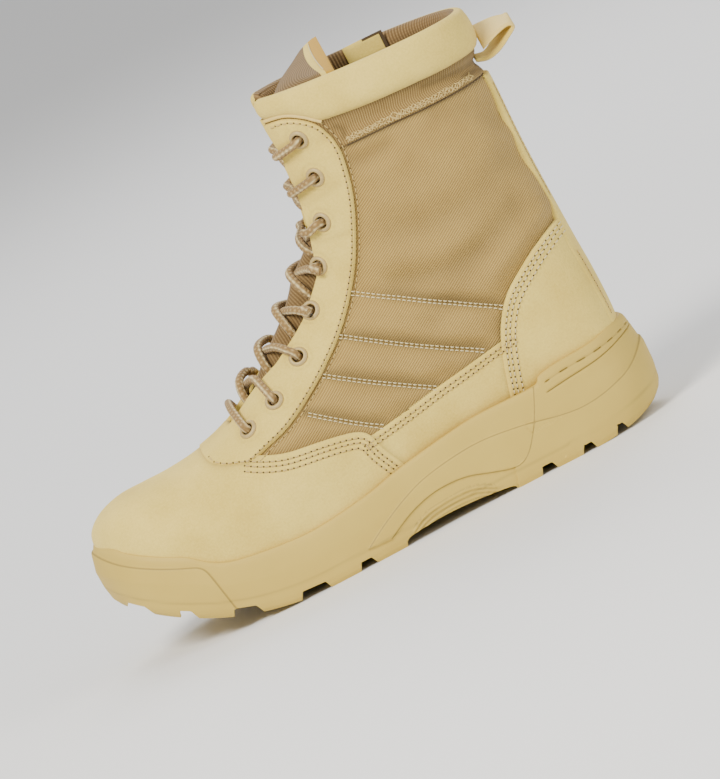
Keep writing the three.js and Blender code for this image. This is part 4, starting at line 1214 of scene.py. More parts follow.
def nylon_shade(corners):
    """Painted shade where the cloth meets an overlay, sinks at a quilting line or lies in a fold."""
    points = side_view(corners)
    overlays = (eyestay_outline, vamp_outline, foxing_outline, counter_outline)
    nearest = np.min([-inside_outline(points, o) for o in overlays], axis=0)
    shade = 0.55 * np.exp(-np.clip(nearest, 0, None) / OVERLAY_SHADOW_REACH)
    shade = np.maximum(shade, bell(line_distance(points, seam_edge), SEAM_SHADOW_HALF))
    under_puff = quilt_distance(points + [0, -PUFF_SHADOW])
    shade = np.maximum(shade, 0.6 * bell(under_puff, PUFF_SHADOW_HALF) * quilted(points))
    for fold in FOLDS:
        away = line_distance(points, fold["points"])
        shade = shade + 0.13 * fold["depth"] * bell(away, fold["half"])
    return np.clip(shade, 0, 1)


cover("nylon_quarter", nylon_field, 0.0, nylon, "nylon_tan", ["upper"], nylon_relief,
      nylon_shade)

# %% [markdown]
# The lining is the same last, one wall further in and seen from inside.

# %% The lining
LINING_STEP = 4.0
LINING_BELOW_EDGE = 30


def lining_net():
    corners, triangles = net(even_rows(LINING_STEP), base_turns[::2])

    def field(c):
        point = last_surface(c[:, 0], c[:, 1])
        above = point[:, 2] - feather_height(point[:, 0]) + LINING_BELOW_EDGE
        return np.minimum(off_slot(c), above)

    corners, triangles = cut_to(corners, triangles, field)
    inside = last_points(corners[:, 0], corners[:, 1], np.full(len(corners), -WALL))
    return corners, face_outwards(inside, triangles, MIDDLE)[:, ::-1], inside


SHAFT_ROW = 22.0
arc_turns = np.linspace(0, 2 * np.pi, 400)
ring = last_surface(np.full(400, SHAFT_ROW), arc_turns)
ring_length = travelled(ring)


def round_map(corners, points):
    """A map that runs round the shaft in one direction and up it in the other."""
    around_shaft = np.interp(np.mod(corners[:, 1], 2 * np.pi), arc_turns, ring_length)
    return np.column_stack([around_shaft, points[:, 2]])


corners, triangles, inside = lining_net()
piece("lining", inside, triangles, lining_cloth, "lining_brown",
      weave=round_map(corners, inside))

# %% [markdown]
# Eyelets, seams and the lace are placed by what the side view shows. A ray is sent across the
# boot at such a place, and where it meets the surface it gives the point and the way out of it.

# %% Find a point of the surface from the side
REACH = 200.0
corners, triangles = base_net
skin_points = last_points(corners[:, 0], corners[:, 1], np.zeros(len(corners)))
skin = BVHTree.FromPolygons(skin_points.tolist(), triangles.tolist())


def meet(trees, start, direction):
    """The first point where a ray meets one of the surfaces, and the surface's way out."""
    best = None
    for tree in trees:
        point, normal, _, length = tree.ray_cast(Vector(start), Vector(direction))
        if point is not None and (best is None or length < best[2]):
            best = (np.array(point), np.array(normal), length)
    if best is None:
        return None
    point, normal, _ = best
    return point, (-normal if normal @ np.array(direction) > 0 else normal)


def from_side(trees, x, z, side):
    return meet(trees, (x, side * REACH, z), (0, -side, 0))


EYELET_PLACES = [
    [0.641, 4.717], [0.637, 4.487], [0.613, 4.241], [0.574, 4.021], [0.526, 3.787],
    [0.471, 3.567], [0.402, 3.39], [0.342, 3.293],
]
OUTER, INNER = -1, 1
eyelet_spots = {
    side: [from_side([skin], x, z, side) for x, z in side_points(EYELET_PLACES)]
    for side in (OUTER, INNER)
}
eyelet_centres = np.array([spot[0] for side in (OUTER, INNER) for spot in eyelet_spots[side]])
print(len(eyelet_centres), "eyelets placed")

# %% [markdown]
# The suede overlays lie on the nylon and on each other, and all end in a cut edge that is rounded
# a little. The lower ones go on into the sole. The facing has a real hole at each eyelet, and the
# leather round it is pressed in a little by the ring.

# %% The suede overlays
INTO_SOLE = 7.0


def above_sole(corners):
    point = last_surface(corners[:, 0], corners[:, 1])
    return point[:, 2] - feather_height(point[:, 0]) + INTO_SOLE


def overlay_field(outline):
    def field(corners):
        return np.minimum(inside_outline(side_view(corners), outline), above_sole(corners))

    return field


def eyelet_distance(corners):
    points = last_surface(corners[:, 0], corners[:, 1])
    return np.min([np.linalg.norm(points - c, axis=1) for c in eyelet_centres], axis=0)


def eyestay_field(corners):
    depth = inside_outline(side_view(corners), eyestay_outline)
    return np.min([depth, off_slot(corners), eyelet_distance(corners) - EYELET_BORE / 2], axis=0)


def eyestay_relief(corners, depth):
    ring = eyelet_distance(corners) - IMPRINT_RADIUS
    relief = -IMPRINT_DEPTH * bell(ring, IMPRINT_HALF)
    return relief - CREASE_DEPTH * facing_crease(corners) * smooth(0, CREASE_HALF, depth)


def facing_crease(corners):
    points = side_view(corners)
    away = np.min([line_distance(points, edge(rows, 12)) for rows in FACING_CREASES], axis=0)
    return bell(away, CREASE_HALF)


def eyestay_shade(corners):
    ring = eyelet_distance(corners) - IMPRINT_RADIUS
    return 0.18 * bell(ring, IMPRINT_HALF) + 0.12 * facing_crease(corners)


def edge_shade(*outlines):
    """Painted shade on suede in the angle beside a piece that lies on it."""
    def shade(corners):
        points = side_view(corners)
        nearest = np.min([-inside_outline(points, o) for o in outlines], axis=0)
        return 0.5 * np.exp(-np.clip(nearest, 0, None) / EDGE_SHADOW_REACH)

    return shade


EDGE_SHADOW_REACH = 1.3
IMPRINT_RADIUS, IMPRINT_DEPTH, IMPRINT_HALF = 7.2, 0.3, 0.7
FACING_CREASES = [
    [[0.6, 4.62], [0.635, 4.61], [0.68, 4.64]],
    [[0.58, 4.34], [0.62, 4.36], [0.66, 4.39]],
    [[0.56, 4.12], [0.6, 4.13], [0.64, 4.12]],
]
CREASE_HALF, CREASE_DEPTH = 2.8, 0.8
BACKSTAY_TOP, BACKSTAY_FOOT = 24, 36
BACKSTAY_TAPER = (3.4, 3.75)
BACKSTAY_END = 4.545
BACKSTAY_FROM = 0.85


def backstay_field(corners):
    point = last_surface(corners[:, 0], corners[:, 1])
    share = smooth(*rung_height(BACKSTAY_TAPER), point[:, 2])
    half = (BACKSTAY_FOOT + (BACKSTAY_TOP - BACKSTAY_FOOT) * share) / 2
    beside = np.where(point[:, 0] > along(BACKSTAY_FROM), half - np.abs(point[:, 1]), FAR_OUTSIDE)
    return np.min([beside, rung_height(BACKSTAY_END) - point[:, 2], above_sole(corners)], axis=0)


FOXING, VAMP, COUNTER, BACKSTAY, FACING = 1.3, 1.9, 2.4, 2.8, 2.9
cover("foxing_suede", overlay_field(foxing_outline), FOXING, suede, "suede_tan",
      ["foxing_outer", "foxing_inner"], shade=edge_shade(vamp_outline, counter_outline))
cover("vamp_suede", overlay_field(vamp_outline), VAMP, suede, "suede_tan", ["vamp"],
      shade=edge_shade(eyestay_outline))
cover("counter_suede", overlay_field(counter_outline), COUNTER, suede, "suede_tan",
      ["heel_counter_outer", "heel_counter_inner"])
cover("backstay_suede", backstay_field, BACKSTAY, suede, "suede_tan", ["backstay"])
cover("eyestay_suede", eyestay_field, FACING, suede, "suede_tan", ["eyestay"], eyestay_relief,
      eyestay_shade)


def band_field(corners):
    depth = inside_outline(side_view(corners), band_outline)
    hidden = HIDDEN_OVERLAP - inside_outline(side_view(corners), eyestay_outline)
    return np.min([depth, hidden, off_slot(corners)], axis=0)


def band_relief(corners, _):
    points = side_view(corners)
    return -sum(deep * bell(line_distance(points, line), half) for line, deep, half in band_folds)


def band_shade(corners):
    points = side_view(corners)
    shade = 0.75 * np.exp(-line_distance(points, collar_edge) / COLLAR_SHADOW_REACH)
    for line, _, half in band_folds:
        shade = np.maximum(shade, 0.6 * bell(line_distance(points, line), half))
    beside = -inside_outline(points, eyestay_outline)
    return np.maximum(shade, 0.8 * np.exp(-np.clip(beside, 0, None) / FACING_SHADOW_REACH))


BAND = 0.9
COLLAR_SHADOW_REACH, FACING_SHADOW_REACH = 2.5, 1.6
band_folds = [
    (edge([[0.86, 4.675], [0.92, 4.65], [1.0, 4.62]], 12), 0.6, 2.2),
    (edge([[0.93, 4.6], [0.96, 4.585], [1.0, 4.56]], 12), 0.5, 1.6),
    (edge([[0.7, 4.7], [0.71, 4.66], [0.706, 4.62]], 12), 0.5, 1.6),
]
cover("band_cloth", band_field, BAND, band_cloth, "band_tan", ["collar_band"], band_relief,
      band_shade, round_map)

# %% [markdown]
# ## The padded collar
#
# The collar is soft suede over foam. It is one skin that starts at its lower seam, swells out,
# rolls over the rim and goes down inside. A third number beside row and turn says how far along
# that way a point is.

# %% The collar
COLLAR_PAD = 3.7
COLLAR_INSIDE = -6.0
RIM_ROW = 26.0
RIM_MIDDLE = (COLLAR_PAD + COLLAR_INSIDE) / 2
RIM_RADIUS = (COLLAR_PAD - COLLAR_INSIDE) / 2
PAD_ROUND = 6.5
RIM_TURNOVER = 1.45
END_ROUND = 4.0
END_THICKNESS, END_LIFT = 0.12, 0.3
COLLAR_FOOT_ROWS = (21.5, 20.5)
COLLAR_WAVE = {"depth": 0.5, "count": 5, "start": 1.3, "fade": 8}
COLLAR_CREASE_SHADE_REACH = 1.5
WAY_STEPS = (26, 16, 12)


def collar_row(way):
    outer_foot, inner_foot = COLLAR_FOOT_ROWS
    return np.interp(way, [0, 1, 2, 3], [outer_foot, RIM_ROW, RIM_ROW, inner_foot])


def collar_place(corners):
    return np.column_stack([collar_row(corners[:, 0]), corners[:, 1]])


def collar_field(corners):
    places = collar_place(corners)
    low = inside_outline(side_view(places), collar_outline)
    outer = np.where(corners[:, 0] <= 1, low, FAR_INSIDE)
    return np.minimum(outer, off_slot(places))


def round_end(depth, radius):
    return np.sqrt(np.clip(1 - np.clip(1 - depth / radius, 0, 1) ** 2, 0, 1))


def collar_points(corners):
    way, turn = corners.T
    places = collar_place(corners)
    low = np.where(way <= 1, inside_outline(side_view(places), collar_outline), FAR_INSIDE)
    angle = np.clip(way - 1, 0, 1) * np.pi
    wave = np.sin(turn * COLLAR_WAVE["count"] + COLLAR_WAVE["start"])
    swell = COLLAR_WAVE["depth"] * wave * smooth(0, COLLAR_WAVE["fade"], low)
    offset = RIM_MIDDLE + RIM_RADIUS * np.cos(angle)
    offset = np.where(way < 1, COLLAR_PAD * round_end(low, PAD_ROUND) + 0.4 * swell, offset)
    end = round_end(off_slot(places), END_ROUND)
    offset = RIM_MIDDLE + (offset - RIM_MIDDLE) * (END_THICKNESS + (1 - END_THICKNESS) * end)
    lift = RIM_RADIUS * np.sin(angle) * (END_LIFT + (1 - END_LIFT) * end)
    points = last_points(places[:, 0], turn, offset)
    points[:, 2] += lift
    return points


ways = [np.linspace(k, k + 1, count) for k, count in enumerate(WAY_STEPS)]
ways = np.unique(np.concatenate(ways))
collar_corners, collar_triangles = cut_to(*net(ways, base_turns), collar_field, EDGE_LINES)
corners, triangles = collar_corners, collar_triangles
points = collar_points(corners)
# Painted shade on the collar's outer skin, darkest at its lower edge and its ends.
crease_shade = np.exp(-collar_field(corners) / COLLAR_CREASE_SHADE_REACH) * (corners[:, 0] < 1)
outer_side = corners[triangles].mean(axis=1)[:, 0] < RIM_TURNOVER
triangles = face_outwards(points, triangles, np.array([*points.mean(axis=0)[:2], 150.0]))
surfaces.append(BVHTree.FromPolygons(points.tolist(), triangles[outer_side].tolist()))
collar = piece("collar_pad", points, triangles[outer_side], suede, "suede_tan", ["collar"],
               0.4 * crease_shade)
piece("collar_lining", points, triangles[~outer_side], lining_cloth, "lining_brown",
      weave=round_map(collar_place(corners), points))

# %% [markdown]
# ## The tongue
#
# The tongue is a soft sheet that lies under the throat. Its free top has sunk back into the mouth
# of the shaft and tips down on one side. It is worked out as a coarse net of points that follow
# the last, and then carry on through the air, and a smooth curve gives the fine rows.

# %% The tongue
TONGUE_WIDTH = 58
TONGUE_EDGE_DEPTH = 6.2
TONGUE_MIDDLE_DEPTH = {"row": [8, 10, 14.5, 17.5, 20], "depth": [4.5, -0.6, -0.6, 4.6, 9.0]}
TONGUE_THICKNESS = 3.4
TONGUE_ROWS = np.linspace(7, 24, 24)
TONGUE_FOOT_SHARE, TONGUE_WIDENING = 0.6, 0.12
TONGUE_SINK, SINK_ROWS = 2.4, (20, 23)
TONGUE_SIDE_SHARES = (0.08, 0.46)
TRIM_STRIP, SUEDE_STRIP = -7.5, -12.0
TONGUE_TOP = [
    {"along": 0.616, "rung": 4.83, "curl": 0.84, "tip": 0.0},
    {"along": 0.63, "rung": 4.92, "curl": 0.8, "tip": 0.04},
    {"along": 0.657, "rung": 4.99, "curl": 0.5, "tip": 0.1},
    {"along": 0.697, "rung": 5.02, "curl": 0.16, "tip": 0.18},
    {"along": 0.742, "rung": 5.03, "curl": 0.0, "tip": 0.26},
]
across = np.linspace(-1, 1, 41)


def turn_at(row, y):
    """The turn at which a section is that far from its middle, on its upper half."""
    share = np.clip(np.abs(y) / between(section["half"], row), 0, 1)
    angle = np.arcsin(share ** (between(section["high"], row) / 2))
    return np.where(y > 0, np.pi - angle, np.pi + angle)


def tongue_rows():
    half = TONGUE_WIDTH / 2
    rows = []
    for r, row in enumerate(TONGUE_ROWS):
        width = half * min(1, TONGUE_FOOT_SHARE + TONGUE_WIDENING * r)
        at = np.full(len(across), row)
        sink = TONGUE_SINK * smooth(*SINK_ROWS, row)
        middle_depth = np.interp(row, *TONGUE_MIDDLE_DEPTH.values())
        side_share = smooth(*TONGUE_SIDE_SHARES, np.abs(across))
        depth = sink + middle_depth + (TONGUE_EDGE_DEPTH - middle_depth) * side_share
        rows.append(last_points(at, turn_at(at, across * width), -depth))
    for top in TONGUE_TOP:
        x = along(top["along"]) + top["curl"] * half * across**2
        z = rung_height(top["rung"]) + top["tip"] * half * across
        rows.append(np.column_stack([x, across * half, z]))
    return np.array(rows)


def refined(rows, times):
    place = np.linspace(0, len(rows) - 1, (len(rows) - 1) * times + 1)
    shape = rows.shape[1:]
    flat = rows.reshape(len(rows), -1)
    fine = np.column_stack([between(flat[:, k], place) for k in range(flat.shape[1])])
    return fine.reshape(len(place), *shape)


def sheet_of(middle, thickness, round_part=0.1):
    """The points and faces of a soft sheet: its front, then its back, rounded at the edges."""
    down, over = np.gradient(middle, axis=0), np.gradient(middle, axis=1)
    normal = unit(np.cross(down, over))
    count_r, count_c = middle.shape[:2]
    r = np.linspace(0, 1, count_r)[:, None]
    c = np.linspace(0, 1, count_c)[None, :]
    depth = np.minimum(np.minimum(c, 1 - c), np.minimum(r * 3, (1 - r) * 3))
    thick = thickness / 2 * round_end(depth, round_part)[..., None]
    points = np.concatenate([middle + normal * thick, middle - normal * thick]).reshape(-1, 3)
    index = np.arange(count_r * count_c).reshape(count_r, count_c)
    corners = (index[:-1, :-1], index[1:, :-1], index[1:, 1:], index[:-1, 1:])
    front = np.column_stack([corner.ravel() for corner in corners])
    return points, np.concatenate([front, front[:, ::-1] + index.size])


TONGUE_FINE = 4
tongue_middle = refined(tongue_rows(), TONGUE_FINE)
tongue_length = travelled(tongue_middle[:, len(across) // 2])
tongue_length -= tongue_length[-1]
tongue_points, tongue_faces = sheet_of(tongue_middle, TONGUE_THICKNESS)
tongue_map = np.column_stack([
    np.tile(np.repeat(tongue_length, len(across)), 2),
    np.tile(np.tile(across * TONGUE_WIDTH / 2, len(tongue_length)), 2),
])
tongue = piece("tongue_pad", tongue_points, tongue_faces, tongue_cloth, "suede_tan", ["tongue"],
               weave=tongue_map)
face_place = tongue_map[tongue_faces].mean(axis=1)[:, 0]
kinds = np.where(face_place > TRIM_STRIP, 2, np.where(face_place > SUEDE_STRIP, 1, 0))
finish_faces(tongue, [suede, tongue_trim], kinds)
print("tongue is", round(-tongue_length[0], 1), "mm long")

# %% [markdown]
# ## Eyelets and lace
#
# Each eyelet is a painted ring, rolled over at its hole. A profile is turned round the way out of
# the surface.

# %% Eyelets
RING_PROFILE = [
    (0.5, -2.6), (0.5, 0.5), (0.53, 0.95), (0.62, 1.25), (0.76, 1.15), (0.9, 0.75), (1.0, 0.1),
    (0.98, -0.4),
]
RING_SIDES = 32


def frame_on(normal):
    side = unit(np.cross(normal, [0.0, 0.0, 1.0]))
    return side, np.cross(normal, side)


def ring_on(point, normal, width, bore):
    side, up = frame_on(normal)
    circle = circle_of(RING_SIDES, side, up)
    hole, rim = bore / 2, width / 2
    profile = [(hole + (rim - hole) * (r - 0.5) * 2, h) for r, h in RING_PROFILE]
    rings = [point + circle * radius + normal * height for radius, height in profile]
    _, quads = ring_faces(len(rings), RING_SIDES)
    return np.concatenate(rings), quads[:, [0, 3, 2, 1]]


def joined_faces(parts):
    points, faces, start = [], [], 0
    for p, f in parts:
        points.append(p)
        faces.append(np.asarray(f) + start)
        start += len(p)
    return np.concatenate(points), np.concatenate(faces)


rings = []
names = []
for side, word in ((OUTER, "outer"), (INNER, "inner")):
    for row, (point, normal) in enumerate(eyelet_spots[side]):
        rings.append(ring_on(point + normal * FACING, normal, EYELET_WIDTH, EYELET_BORE))
        names.append(f"eyelet_{word}_{row + 1}")
piece("eyelet_rings", *joined_faces(rings), painted, "painted_metal_tan", names)

# %% [markdown]
# One round lace runs through all the eyelets. It comes up through a hole, goes over the edge of
# the facing, crosses the tongue and dives under the far edge, to come up through the next hole
# there. At the lowest pair it lies straight across. Both ends stop inside the top eyelets.

# %% The lace
LACE_TOP = FACING + 1.2 + LACE_WIDTH / 2 + 0.2
LACE_UNDER = -WALL - 1.4
LACE_IN_HOLE = FACING - 0.5
LACE_STEP = 1.1
CROSS_HEIGHTS = [-4.2, -4.2, -2.8, 1.6, 4.8, 5.4, 5.6]
CROSS_OVER = LACE_WIDTH / 2 - 0.15
LEAVE_SHARES = [0.3, 0.24, 0.16, 0.08, 0.06, 0.06, 0.06]
BAR_DROP = 0.06


def place_of(point):
    """The row and turn of the last nearest to a point, looked for on the base net."""
    corners = base_net[0]
    nearest = np.argmin(np.linalg.norm(skin_points - point, axis=1))
    return corners[nearest]


eyelet_rows = {side: [place_of(spot[0]) for spot in eyelet_spots[side]] for side in eyelet_spots}


def crest_point(row, y, height):
    row, y = np.array([float(row)]), np.array([float(y)])
    return last_points(row, turn_at(row, y), np.array([float(height)]))[0]


def strand(side, index):
    """From under an eyelet, out, over the throat and under the far edge of it."""
    point, normal = eyelet_spots[side][index]
    row = eyelet_rows[side][index][0]
    after = eyelet_rows[-side][index + 1][0]
    over = CROSS_OVER if side == INNER else -CROSS_OVER
    middle = CROSS_HEIGHTS[index]
    leave = LEAVE_SHARES[index]
    slope = 0.3 * leave

    def at(share, reach, height):
        there = row + (after - row) * share
        return crest_point(there, side * reach * throat_half(there), height)

    toward = unit(at(leave, 1.0, 0) - point)
    return [
        point + normal * LACE_UNDER + toward * 0.5,
        point + normal * LACE_IN_HOLE + toward * 0.9,
        point + normal * (LACE_TOP - 0.9) + toward * 2.8,
        at(leave, 1.2, LACE_TOP - 0.1),
        at(leave + 0.06, 1.0, LACE_TOP - 1.2),
        at(leave + 0.17, 0.74, 0.2 * LACE_TOP + 0.8 * middle + 0.6 * over + 0.6),
        at(0.5 + slope, 0.0, middle + over),
        at(0.7 + slope / 2, -0.62, 0.6 * middle + 0.5 * over - 0.9),
        at(0.82, -0.98, LACE_UNDER - 0.4),
        at(0.9, -1.25, LACE_UNDER - 1.2),
    ]


def lace_path():
    last_eyelet = len(EYELET_PLACES) - 1
    halves = []
    for first in (OUTER, INNER):
        points, side = [], first
        for index in range(last_eyelet):
            points += strand(side, index)
            side = -side
        point, normal = eyelet_spots[side][last_eyelet]
        row = eyelet_rows[side][last_eyelet][0]
        points += [
            point + normal * LACE_UNDER,
            point + normal * LACE_IN_HOLE,
            point + normal * (LACE_TOP - 0.8),
            crest_point(row - BAR_DROP, side * 0.9 * THROAT_WIDTH / 2, LACE_TOP),
        ]
        halves.append(points)
    low = eyelet_rows[OUTER][last_eyelet][0] - BAR_DROP
    return [*halves[0], crest_point(low, 0, LACE_TOP), *halves[1][::-1]]


def even_path(points, step):
    """Points at an even distance along a smooth curve through the given ones."""
    points = np.array(points)
    steps = np.linalg.norm(np.diff(points, axis=0), axis=1)
    knots = np.concatenate([[0], np.cumsum(np.sqrt(steps))])
    fine = []
    for i in range(len(points) - 1):
        p = [points[max(i - 1, 0)], points[i], points[i + 1], points[min(i + 2, len(points) - 1)]]
        k0, k1, k2, k3 = (knots[max(i - 1, 0)], knots[i], knots[i + 1],
                          knots[min(i + 2, len(points) - 1)])
        first = (p[2] - p[0]) / max(k2 - k0, 1e-6) * (k2 - k1)
        second = (p[3] - p[1]) / max(k3 - k1, 1e-6) * (k2 - k1)
        t = np.linspace(0, 1, 16, endpoint=False)[:, None]
        fine.append((2 * t**3 - 3 * t**2 + 1) * p[1] + (t**3 - 2 * t**2 + t) * first
                    + (3 * t**2 - 2 * t**3) * p[2] + (t**3 - t**2) * second)
    fine = np.concatenate([*fine, points[-1:]])
    length = travelled(fine)
    even = np.linspace(0, length[-1], int(length[-1] / step) + 1)
    return np.column_stack([np.interp(even, length, fine[:, k]) for k in range(3)]), even


def tube(path, radius, sides):
    """A round tube along a path, its rings turned as little as possible from one to the next."""
    tangent = unit(np.gradient(path, axis=0))
    side = unit(np.cross(tangent[0], [0.3, 0.2, 1.0]))
    carried = []
    for t in tangent:
        side = unit(side - t * (side @ t))
        carried.append(side)
    side = np.array(carried)
    up = np.cross(tangent, side)
    circle = circle_of(sides, side[:, None], up[:, None])
    points = (path[:, None] + radius * circle).reshape(-1, 3)
    index, quads = ring_faces(len(path), sides)
    return points, quads, [index[0], index[-1][::-1]]


LACE_SIDES = 14
path, lace_along = even_path(lace_path(), LACE_STEP)
points, quads, caps = tube(path, LACE_WIDTH / 2, LACE_SIDES)
lace_map = np.column_stack([
    np.repeat(lace_along, LACE_SIDES),
    np.tile(np.arange(LACE_SIDES) / LACE_SIDES * np.pi * LACE_WIDTH, len(path)),
])
crossings = [f"lace_crossing_{k + 1}" for k in range(len(EYELET_PLACES) - 1)]
piece("lace", points, [*quads.tolist(), *caps], lace_cord, "lace_brown",
      [*crossings, "lace_bar"], weave=lace_map)
print("lace length", round(lace_along[-1]), "mm")

# %% [markdown]
# ## Stitches
#
# A seam is a row of short stitches with a needle hole at each end, drawn as a small dark disk of
# painted shade. The rows follow the cut edges at an even distance. Each stitch is a small spindle of
# thread laid on the surface that a ray finds, and all stitches of a kind are one mesh.

# %% Stitch rows
STITCH_SIDES, HOLE_SIDES = 5, 6
STITCH_PITCH, STITCH_WIDTH = 3.2, 0.75
STITCH_LIFT = 0.12
LONGEST_STITCH = 9
HOLE_SHARE = 1.5
HOLE_LIFTS = (0.05, 0.07)
EYESTAY_ROW = 28
SPINDLE = [(0.0, 0.45, -0.12), (0.18, 0.95, 0.1), (0.5, 1.0, 0.16), (0.82, 0.95, 0.1),
           (1.0, 0.45, -0.12)]
stitch_parts = {"pale": [], "tan": [], "dark": []}
hole_shade_parts = []


def along_line(line, pitch):
    length = travelled(line)
    count = max(int(length[-1] / pitch), 1)
    place = np.linspace(0, length[-1], count + 1)
    return np.column_stack([np.interp(place, length, line[:, k]) for k in range(2)])


def beside(line, distance):
    """The same line moved sideways in the side view, to its right where distance is above 0."""
    tangent = unit(np.gradient(line, axis=0))
    return line + np.column_stack([tangent[:, 1], -tangent[:, 0]]) * distance


def thread_between(start, end, width):
    """One stitch from one found spot of the surface to another."""
    (a, normal_a), (b, normal_b) = start, end
    normal = unit(normal_a + normal_b)
    run = b - a
    across = unit(np.cross(run, normal))
    circle = circle_of(STITCH_SIDES, across, normal)
    rings = []
    for share, size, lift in SPINDLE:
        middle = a + run * share + normal * (lift + STITCH_LIFT) * width * 2
        rings.append(middle + width / 2 * size * circle)
    return np.concatenate(rings), ring_faces(len(SPINDLE), STITCH_SIDES)[1]


# A small dark disk at a needle hole: painted shade in the hole.
def hole_shade_at(spot, width):
    point, normal = spot
    rim_lift, middle_lift = HOLE_LIFTS
    ring = point + normal * rim_lift + width / 2 * circle_of(HOLE_SIDES, *frame_on(normal))
    middle = (point + normal * middle_lift)[None]
    index = np.arange(HOLE_SIDES)
    fan = np.column_stack([np.full(HOLE_SIDES, HOLE_SIDES), index, np.roll(index, -1)])
    return np.concatenate([ring, middle]), fan


def sew(spots, kind, width, share=0.72, holes=True):
    for start, end in zip(spots[:-1], spots[1:]):
        if start is None or end is None:
            continue
        run = end[0] - start[0]
        if np.linalg.norm(run) > LONGEST_STITCH:
            continue
        rest = (1 - share) / 2
        a = (start[0] + run * rest, start[1])
        b = (end[0] - run * rest, end[1])
        stitch_parts[kind].append(thread_between(a, b, width))
        if holes:
            hole_shade_parts.append(hole_shade_at(start, width * HOLE_SHARE))


def spots_on(line, side):
    return [from_side(surfaces, x, z, side) for x, z in line]


def seam(line, kind="tan", pitch=STITCH_PITCH, width=STITCH_WIDTH, share=0.7, holes=True):
    """A row of stitches along a line of the side view, on both sides of the boot."""
    for side in (OUTER, INNER):
        sew(spots_on(along_line(line, pitch), side), kind, width, share, holes)


eyestay_line = edge(EYESTAY_EDGE, 120)
seam(beside(eyestay_line, -2.4))
seam(beside(eyestay_line[EYESTAY_ROW:], 1.6), pitch=3.4, width=0.5)
for distance in (3.0, 5.4, 8.2):
    seam(beside(edge(VAMP_EDGE, 100), distance))
for distance in (2.6, 5.0):
    seam(beside(edge(FOXING_EDGE, 60), distance))
for distance in (2.8, 5.0, 7.8):
    seam(beside(edge(COUNTER_EDGE, 100), distance), kind="pale")
for line in quilt_lines:
    for distance in (-1.0, 1.0):
        seam(beside(line, distance), kind="pale", pitch=2.6, width=0.8, share=0.8, holes=False)
print(len(stitch_parts["tan"]) + len(stitch_parts["pale"]), "stitches so far")

# %% [markdown]
# The band above the ankle is sewn down with a zigzag, which is a row of stitches that lean one
# way and the other in turn. The gap under the band's edge is in shade, and a thin dark strand laid in
# it is painted shadow.

# %% Zigzag, backstay seams and the sewn meshes
ZIGZAG_PITCH, ZIGZAG_HALF, ZIGZAG_UP = 2.3, 1.3, 2.6
ZIGZAG_ALONG = (0.705, 0.945)
ZIGZAG_SLIP = 0.45
ZIGZAG_LEAN = 0.8 * ZIGZAG_HALF
ZIGZAG_WIDTH = 0.6
BAND_GAP_SHADOW_WIDTH, BAND_GAP_SHADOW_PITCH, BAND_GAP_SHADOW_OUT = 0.6, 2.0, 0.3
BAND_GAP_SHADOW_ALONG = (0.7, 0.985)
FOLD_SEAM = TRIM_STRIP - 1.2
BACK_SEAM_HALF, FOOT_SEAM_HALF = 9.5, 15.5
BACK_SEAM_RUNGS, FOOT_SEAM_RUNGS = (3.75, 4.52), (2.75, 3.4)


def lies_between(line, shares):
    low, high = along(shares)
    return (line[:, 0] > low) & (line[:, 0] < high)


def back_seam(half, rungs, side):
    """A row up the back of the boot, at a distance from its middle line."""
    heights = np.arange(*rung_height(rungs), STITCH_PITCH)
    spots = [meet(surfaces, (REACH + 60, side * half, z), (-1, 0, 0)) for z in heights]
    sew(spots, "tan", STITCH_WIDTH)


uneven = np.random.default_rng(11)
seam_line = edge(SEAM_EDGE, 200)
base_line = beside(seam_line, -ZIGZAG_UP)[lies_between(seam_line, ZIGZAG_ALONG)]
for level in (-ZIGZAG_HALF, ZIGZAG_HALF):
    for lean in (0, 1):
        zigzag = along_line(base_line + [0, level * 0.5], ZIGZAG_PITCH)
        up = np.where((np.arange(len(zigzag)) + lean) % 2 == 0, ZIGZAG_LEAN, -ZIGZAG_LEAN)
        zigzag = zigzag + uneven.normal(0, ZIGZAG_SLIP, zigzag.shape)
        zigzag[:, 1] += up
        for side in (OUTER, INNER):
            sew(spots_on(zigzag, side), "tan", ZIGZAG_WIDTH, 0.9, holes=False)

# A thin dark strand along the band's lower edge: painted shadow in the gap under it.
gap_shadow_line = beside(seam_line, BAND_GAP_SHADOW_OUT)
gap_shadow_line = gap_shadow_line[lies_between(gap_shadow_line, BAND_GAP_SHADOW_ALONG)]
seam(gap_shadow_line, "dark", BAND_GAP_SHADOW_PITCH, BAND_GAP_SHADOW_WIDTH, share=1.2, holes=False)

fold_row = int(np.searchsorted(tongue_length, FOLD_SEAM))
fold_points = tongue_points[:tongue_middle[..., 0].size].reshape(tongue_middle.shape)[fold_row]
fold_normal = unit(fold_points - tongue_middle[fold_row])
sew(list(zip(fold_points[4:-4], fold_normal[4:-4])), "pale", 0.8, 0.75, holes=False)

for side in (OUTER, INNER):
    back_seam(BACK_SEAM_HALF, BACK_SEAM_RUNGS, side)
    back_seam(FOOT_SEAM_HALF, FOOT_SEAM_RUNGS, side)

piece("seams_pale", *joined_faces(stitch_parts["pale"]), thread, "lining_brown")
piece("seams_tan", *joined_faces(stitch_parts["tan"]), thread_tan, "suede_tan")
piece("band_gap_shadow", *joined_faces(stitch_parts["dark"]), shade_and_binding_dark, "band_tan")
piece("needle_hole_shade", *joined_faces(hole_shade_parts), shade_and_binding_dark, "suede_tan")

# %% [markdown]
# ## Trim
#
# The pull loop is a strip folded into a loop and sewn to the back of the collar. It leans back
# and its near edge hangs lower, so that its face is seen from the side.

